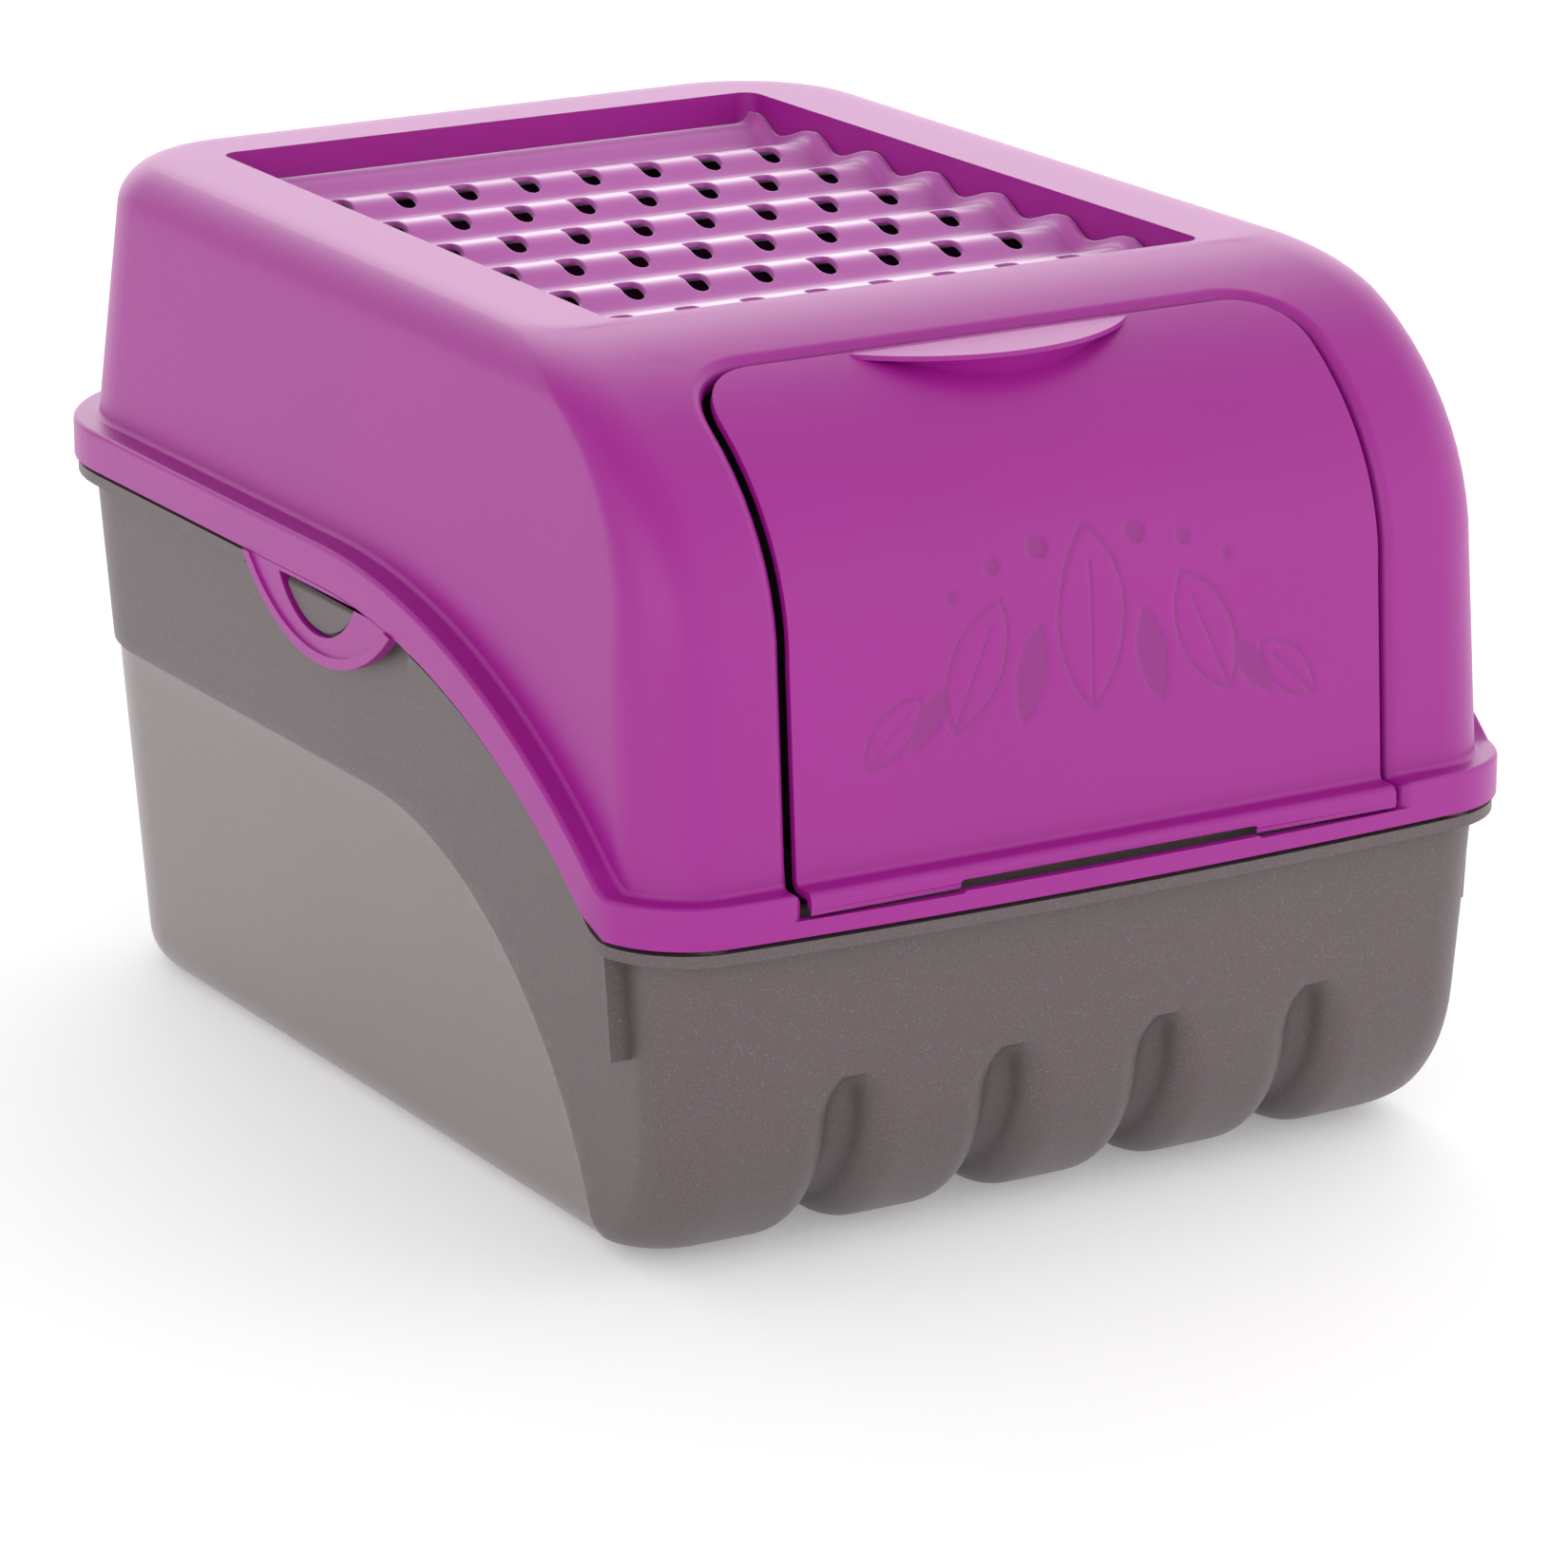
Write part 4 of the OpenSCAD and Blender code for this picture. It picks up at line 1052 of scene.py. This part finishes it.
def tubShell():
    floor = tubOutline(0.0)
    wingStart = 88.0  # x where the front's upright lines end
    xs = grooveColumns() + [wingStart]
    columns = [("x", x) for x in xs] + [("wing", s, wingStart) for s in steps(0, 1, 2)]
    frontCount = len(columns)
    flatHalf = floor[1] - floor[5]

    def backColumn(x):
        if x <= flatHalf:
            return ("back", 1 - x / flatHalf)
        return ("backCorner", math.acos((x - flatHalf) / floor[5]) / (math.pi / 2))

    startX = outlinePoint(columns[-1], floor)[0]
    backXs = [startX, (startX + wingStart) / 2] + xs[::-1]
    backColumns = [backColumn(x) for x in backXs]
    sideColumns = [("frontCorner", s) for s in steps(0, 1, 12)]
    sideColumns += [("side", s) for s in steps(0, 1, 34)]
    sideColumns += [("backCorner", s) for s in steps(0, backColumns[0][1], 10)]
    columns += sideColumns + backColumns[1:]
    sideRows = len(sideColumns)

    levelZ = 62.0  # below it the rows lie level, above it they follow the rim
    arcs = [tub["frontEdgeR"] * (1 - math.cos(math.radians(a))) for a in steps(90, 0, 18)]
    fixed = [levelZ] + steps(levelZ, tub["frontEdgeR"], 10) + arcs
    upper = [1 - s for s in [0] + steps(0, 1, 8)[:-1]]
    bm = bmesh.new()
    panel = bm.verts.layers.float.new("panel")
    rows = gridRows(bm, len(columns), len(upper) + len(fixed))
    for i, column in enumerate(columns):
        topZ = rim["frontZ"] + tub["topUp"]
        for k in range(4):
            topZ = rimZ(outlinePoint(column, tubOutline(topZ))[1], tub["topUp"])
        if column[0] in ("x", "wing", "frontCorner"):
            topZ = rim["frontZ"] + tub["topUp"] - tub["doorDip"]
        for j, row in enumerate(rows):
            z = mix(levelZ, topZ, upper[j]) if j < len(upper) else fixed[j - len(upper)]
            x, y = outlinePoint(column, tubOutline(z))
            point = Vector((x, y, z))
            if column[0] == "x":
                turn = frontTurn
                if z < tub["frontEdgeR"]:
                    turn = min(frontTurn, math.acos(1 - z / tub["frontEdgeR"]))
                endZ = tub["frontEdgeR"] * (1 - math.cos(frontTurn))
                depth = grooveDepth(x, (z - endZ) / math.sin(frontTurn))
                point += Vector((0, math.sin(turn), math.cos(turn))) * depth
            row[i].co = point

    # The floor hangs in the lowest ring
    ring = rows[-1]
    floorRows = gridRows(bm, frontCount, sideRows + 1)
    grooveEnd = tubBackY(0) - tub["grooveBack"]
    sideRing = ring[frontCount - 1:frontCount + sideRows]
    backRing = ring[frontCount + sideRows - 1:][::-1]
    sideFront, sideBack = sideRing[0].co.y, sideRing[-1].co.y
    lastX = len(xs) - 1
    for j, row in enumerate(floorRows):
        share = (sideRing[j].co.y - sideFront) / (sideBack - sideFront)
        for i, vert in enumerate(row):
            inward = min(i, lastX)
            x = xs[inward]
            y = mix(outlinePoint(columns[inward], floor)[1], backRing[inward].co.y, share)
            if i > lastX:
                wing = (i - lastX) / (frontCount - 1 - lastX)
                x = mix(x, sideRing[j].co.x, wing)
                y = mix(y, sideRing[j].co.y, wing)
            depth = 0.0
            if j == 0:
                depth = grooveDepth(x, 0) if i <= lastX else 0.0
            elif x < wingStart and j < sideRows:
                depth = grooveDepth(x, y - grooveEnd)
            vert.co = Vector((x, y, depth))
    bmesh.ops.remove_doubles(bm, verts=bm.verts, dist=0.01)
    bmesh.ops.recalc_face_normals(bm, faces=bm.faces)
    cutPanelEdge(bm)
    core = tubOutline(tub["floorEdgeR"])
    for vert in bm.verts:
        share = inPanel(vert.co.y, vert.co.z)
        if share <= 0 or vert.co.z < 0.05 or vert.co.y < tub["stepY"] - tub["stepR"] - 1:
            continue
        vert[panel] = share
        low = min(1.0, vert.co.z / tub["floorEdgeR"])
        level = math.sqrt(1 - (1 - low) ** 2)
        if vert.co.x < core[0] - 20 and vert.co.y < core[3] - 20:
            continue
        if vert.co.y < core[3] - core[5]:
            away = Vector((-1, 0, 0))
        else:
            coreX = min(vert.co.x, core[1] - core[5])
            coreY = min(vert.co.y, core[3] - core[5])
            away = Vector((coreX - vert.co.x, coreY - vert.co.y, 0)).normalized()
        vert.co += away * tub["stepIn"] * share * level
    mirrorHalf(bm)
    return bm


tubPiece = makePiece(tubShell(), "tubShell", taupe, "tub", ["tub"])
giveWall(tubPiece, tub["wall"])
softenEdges(tubPiece, 0.6, 2, 50)
print("tub ready")


# The flange under the rim and the two upright fins

def flangePoint(column, up, outer):
    point = rimPoint(column, tub["flangeInset"], up, 0.0)
    if outer:
        return point
    for k in range(3):
        x, y = outlinePoint(column, tubOutline(point.z, tub["wall"] / 2))
        if column[0] in ("side", "frontCorner"):
            y = point.y
        point.z = rimZ(y, up)
    return Vector((x, y, point.z))


def flangeBar(bm, columns, ends):
    tops = [-tub["flangeGap"], -tub["flangeGap"] - tub["flange"]]
    loops = [[flangePoint(c, tops[0], False), flangePoint(c, tops[0], True),
              flangePoint(c, tops[1], True), flangePoint(c, tops[1], False)] for c in columns]
    rows = gridRows(bm, 5, len(loops))
    for row, loop in zip(rows, loops):
        for vert, point in zip(row, loop + loop[:1]):
            vert.co = point
    verts = [v for row in rows for v in row]
    bmesh.ops.remove_doubles(bm, verts=verts, dist=0.005)
    for end in ends:
        edges = [e for e in bm.edges if e.is_boundary
                 and all((v.co - loops[end][0]).length < 15 and abs(v.co.x) > 1 for v in e.verts)]
        bmesh.ops.contextual_create(bm, geom=edges)


def flangeAndFins():
    bm = bmesh.new()
    sideStart, sideEnd = rim["frontR"], rim["depth"] - rim["backR"]
    gap = tub["tabHalf"] + tub["flangeEndGap"]
    frontEnd = (tub["tabY"] - gap - sideStart) / (sideEnd - sideStart)
    backStart = (tub["tabY"] + gap - sideStart) / (sideEnd - sideStart)
    lastX = 98.0  # the last line before the front corner
    front = [("x", x) for x in [0.0] + steps(0, lastX, 14)]
    front += [("frontCorner", s) for s in steps(0, 1, 12)] + [("side", s) for s in steps(0, frontEnd, 14)]
    back = [("side", s) for s in [backStart] + steps(backStart, 1, 10)]
    back += [("backCorner", s) for s in steps(0, 1, 12)] + [("back", s) for s in steps(0, 1, 8)]
    flangeBar(bm, front, [-1])
    flangeBar(bm, back, [0])
    finTop = rim["frontZ"] - tub["flangeGap"] - tub["flange"] / 2
    outerTop = rim["halfWidth"] - tub["finInset"]
    outerLow = outerTop - tub["draft"] * (rim["frontZ"] - tub["finZ"])
    box = bmesh.ops.create_cube(bm, size=1.0)["verts"]
    for vert in box:
        z = finTop if vert.co.z > 0 else tub["finZ"]
        outer = outerTop if vert.co.z > 0 else outerLow
        x = outer if vert.co.x > 0 else tubHalf(z) - tub["wall"] / 2
        y = tub["finY"] + (tub["finThick"] if vert.co.y > 0 else 0.0)
        vert.co = Vector((x, y, z))
    mirrorHalf(bm)
    return bm


flangePiece = makePiece(flangeAndFins(), "flangeAndFins", taupe, "tub", ["tub"])
softenEdges(flangePiece, 0.7, 3)
print("flange ready")


# The small parts keep their CAD form and get rounded edges

def finishedCopy(node, name, material, body, rounding):
    bm = bmesh.new()
    bm.from_mesh(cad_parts[node].data)
    bmesh.ops.transform(bm, verts=bm.verts, matrix=toFrame.inverted())
    bmesh.ops.remove_doubles(bm, verts=bm.verts, dist=0.002)
    bmesh.ops.dissolve_limit(bm, verts=bm.verts, edges=bm.edges, angle_limit=math.radians(0.6))
    piece = makePiece(bm, name, material, body, [node])
    softenEdges(piece, rounding, 3)
    return piece


for side in ("left", "right"):
    finishedCopy("latch_tab_" + side, "latchTab_" + side, purple, "tab_" + side, 0.55)
    finishedCopy("catch_lug_" + side, "catchLug_" + side, taupe, "tub", 0.7)
    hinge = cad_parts["film_hinge_" + side]
    hinge.data.materials.clear()
    hinge.data.materials.append(purple)
print("small parts ready")


# The floor, the light and the camera

studio = {
    "floorSize": 6.0,
    "floor": "#F4F4F4",
    "sky": "#FFFFFF",
    "leftLight": 0.8,
    "rightLight": 1.6,
    "topLight": 0.55,  # share of that light left overhead
    # bright areas: the way to each, how narrow it is and how strong
    "glows": [((0.38, 0.9, 0.2), 0.72, 1.6), ((-0.86, -0.5, 0.1), 0.7, 1.3)],
    "floorLift": 0.25,  # what the camera sees on top of the lit floor
    "glossyLift": 0.6,  # and what the plastic mirrors
    "cameraPlace": (-0.8798, -1.5052, 0.6089),
    "cameraTurn": (72.787, 0.0, -30.593),
    "lens": 158.08,
}

floorPaint, tree = newMaterial("mattWhitePaint")
paint = addNode(tree, "BsdfPrincipled",
                {"Base Color": linear(studio["floor"]), "Roughness": 0.9, "Specular IOR Level": 0.1})
path = addNode(tree, "LightPath")
lift = addNode(tree, "MapRange", {"To Min": studio["floorLift"], "To Max": studio["glossyLift"]},
               {"Value": path.outputs["Is Glossy Ray"]})
glow = addNode(tree, "Emission", {"Color": linear(studio["sky"])},
               {"Strength": lift.outputs["Result"]})
seenWays = addNode(tree, "Math", {"operation": "MAXIMUM"},
                   {0: path.outputs["Is Camera Ray"], 1: path.outputs["Is Glossy Ray"]})
lifted = addNode(tree, "AddShader", {}, {0: paint.outputs["BSDF"], 1: glow.outputs["Emission"]})
both = addNode(tree, "MixShader", {},
               {0: seenWays.outputs["Value"], 1: paint.outputs["BSDF"], 2: lifted.outputs["Shader"]})
addNode(tree, "OutputMaterial", {}, {"Surface": both.outputs["Shader"]})
bm = bmesh.new()
bmesh.ops.create_grid(bm, x_segments=1, y_segments=1, size=studio["floorSize"] / 2)
floor = meshObject(bm, "studioFloor", floorPaint)

world = bpy.data.worlds.new("softStudio")
scene.world = world
world.use_nodes = True
tree = world.node_tree
tree.nodes.clear()
# Softly lit room, bright behind the bin and to the left; the camera sees plain white
way = addNode(tree, "TexCoord")
parts = addNode(tree, "SeparateXYZ", {}, {"Vector": way.outputs["Generated"]})
level = addNode(tree, "MapRange",
                {"From Min": -0.9, "From Max": 0.9, "To Min": studio["leftLight"],
                 "To Max": studio["rightLight"], "interpolation_type": "SMOOTHSTEP"},
                {"Value": parts.outputs["X"]})
high = addNode(tree, "MapRange",
               {"From Min": 0.25, "From Max": 0.95, "To Min": 1.0,
                "To Max": studio["topLight"], "interpolation_type": "SMOOTHSTEP"},
               {"Value": parts.outputs["Z"]})
room = addNode(tree, "Math", {"operation": "MULTIPLY"},
               {0: level.outputs["Result"], 1: high.outputs["Result"]})
light = room.outputs["Value"]
for glowWay, narrow, strength in studio["glows"]:
    toGlow = addNode(tree, "VectorMath", {"operation": "DOT_PRODUCT", 1: glowWay},
                     {0: way.outputs["Generated"]})
    glow = addNode(tree, "MapRange",
                   {"From Min": narrow, "From Max": 1.0, "To Max": strength,
                    "interpolation_type": "SMOOTHSTEP"},
                   {"Value": toGlow.outputs["Value"]})
    total = addNode(tree, "Math", {"operation": "ADD"}, {0: light, 1: glow.outputs["Result"]})
    light = total.outputs["Value"]
sky = addNode(tree, "Background", {"Color": linear(studio["sky"])}, {"Strength": light})
seen = addNode(tree, "Background", {"Color": linear(studio["sky"]), "Strength": 1.0})
path = addNode(tree, "LightPath")
both = addNode(tree, "MixShader", {},
               {0: path.outputs["Is Camera Ray"], 1: sky.outputs["Background"],
                2: seen.outputs["Background"]})
addNode(tree, "OutputWorld", {}, {"Surface": both.outputs["Shader"]})

cameraData = bpy.data.cameras.new("camera")
cameraData.lens = studio["lens"]
cameraData.sensor_width = 36.0
cameraData.clip_end = 50.0
camera = bpy.data.objects.new("camera", cameraData)
camera.location = studio["cameraPlace"]
camera.rotation_euler = [math.radians(a) for a in studio["cameraTurn"]]
scene.collection.objects.link(camera)
scene.camera = camera
scene.view_settings.view_transform = "Standard"
print("stage ready")
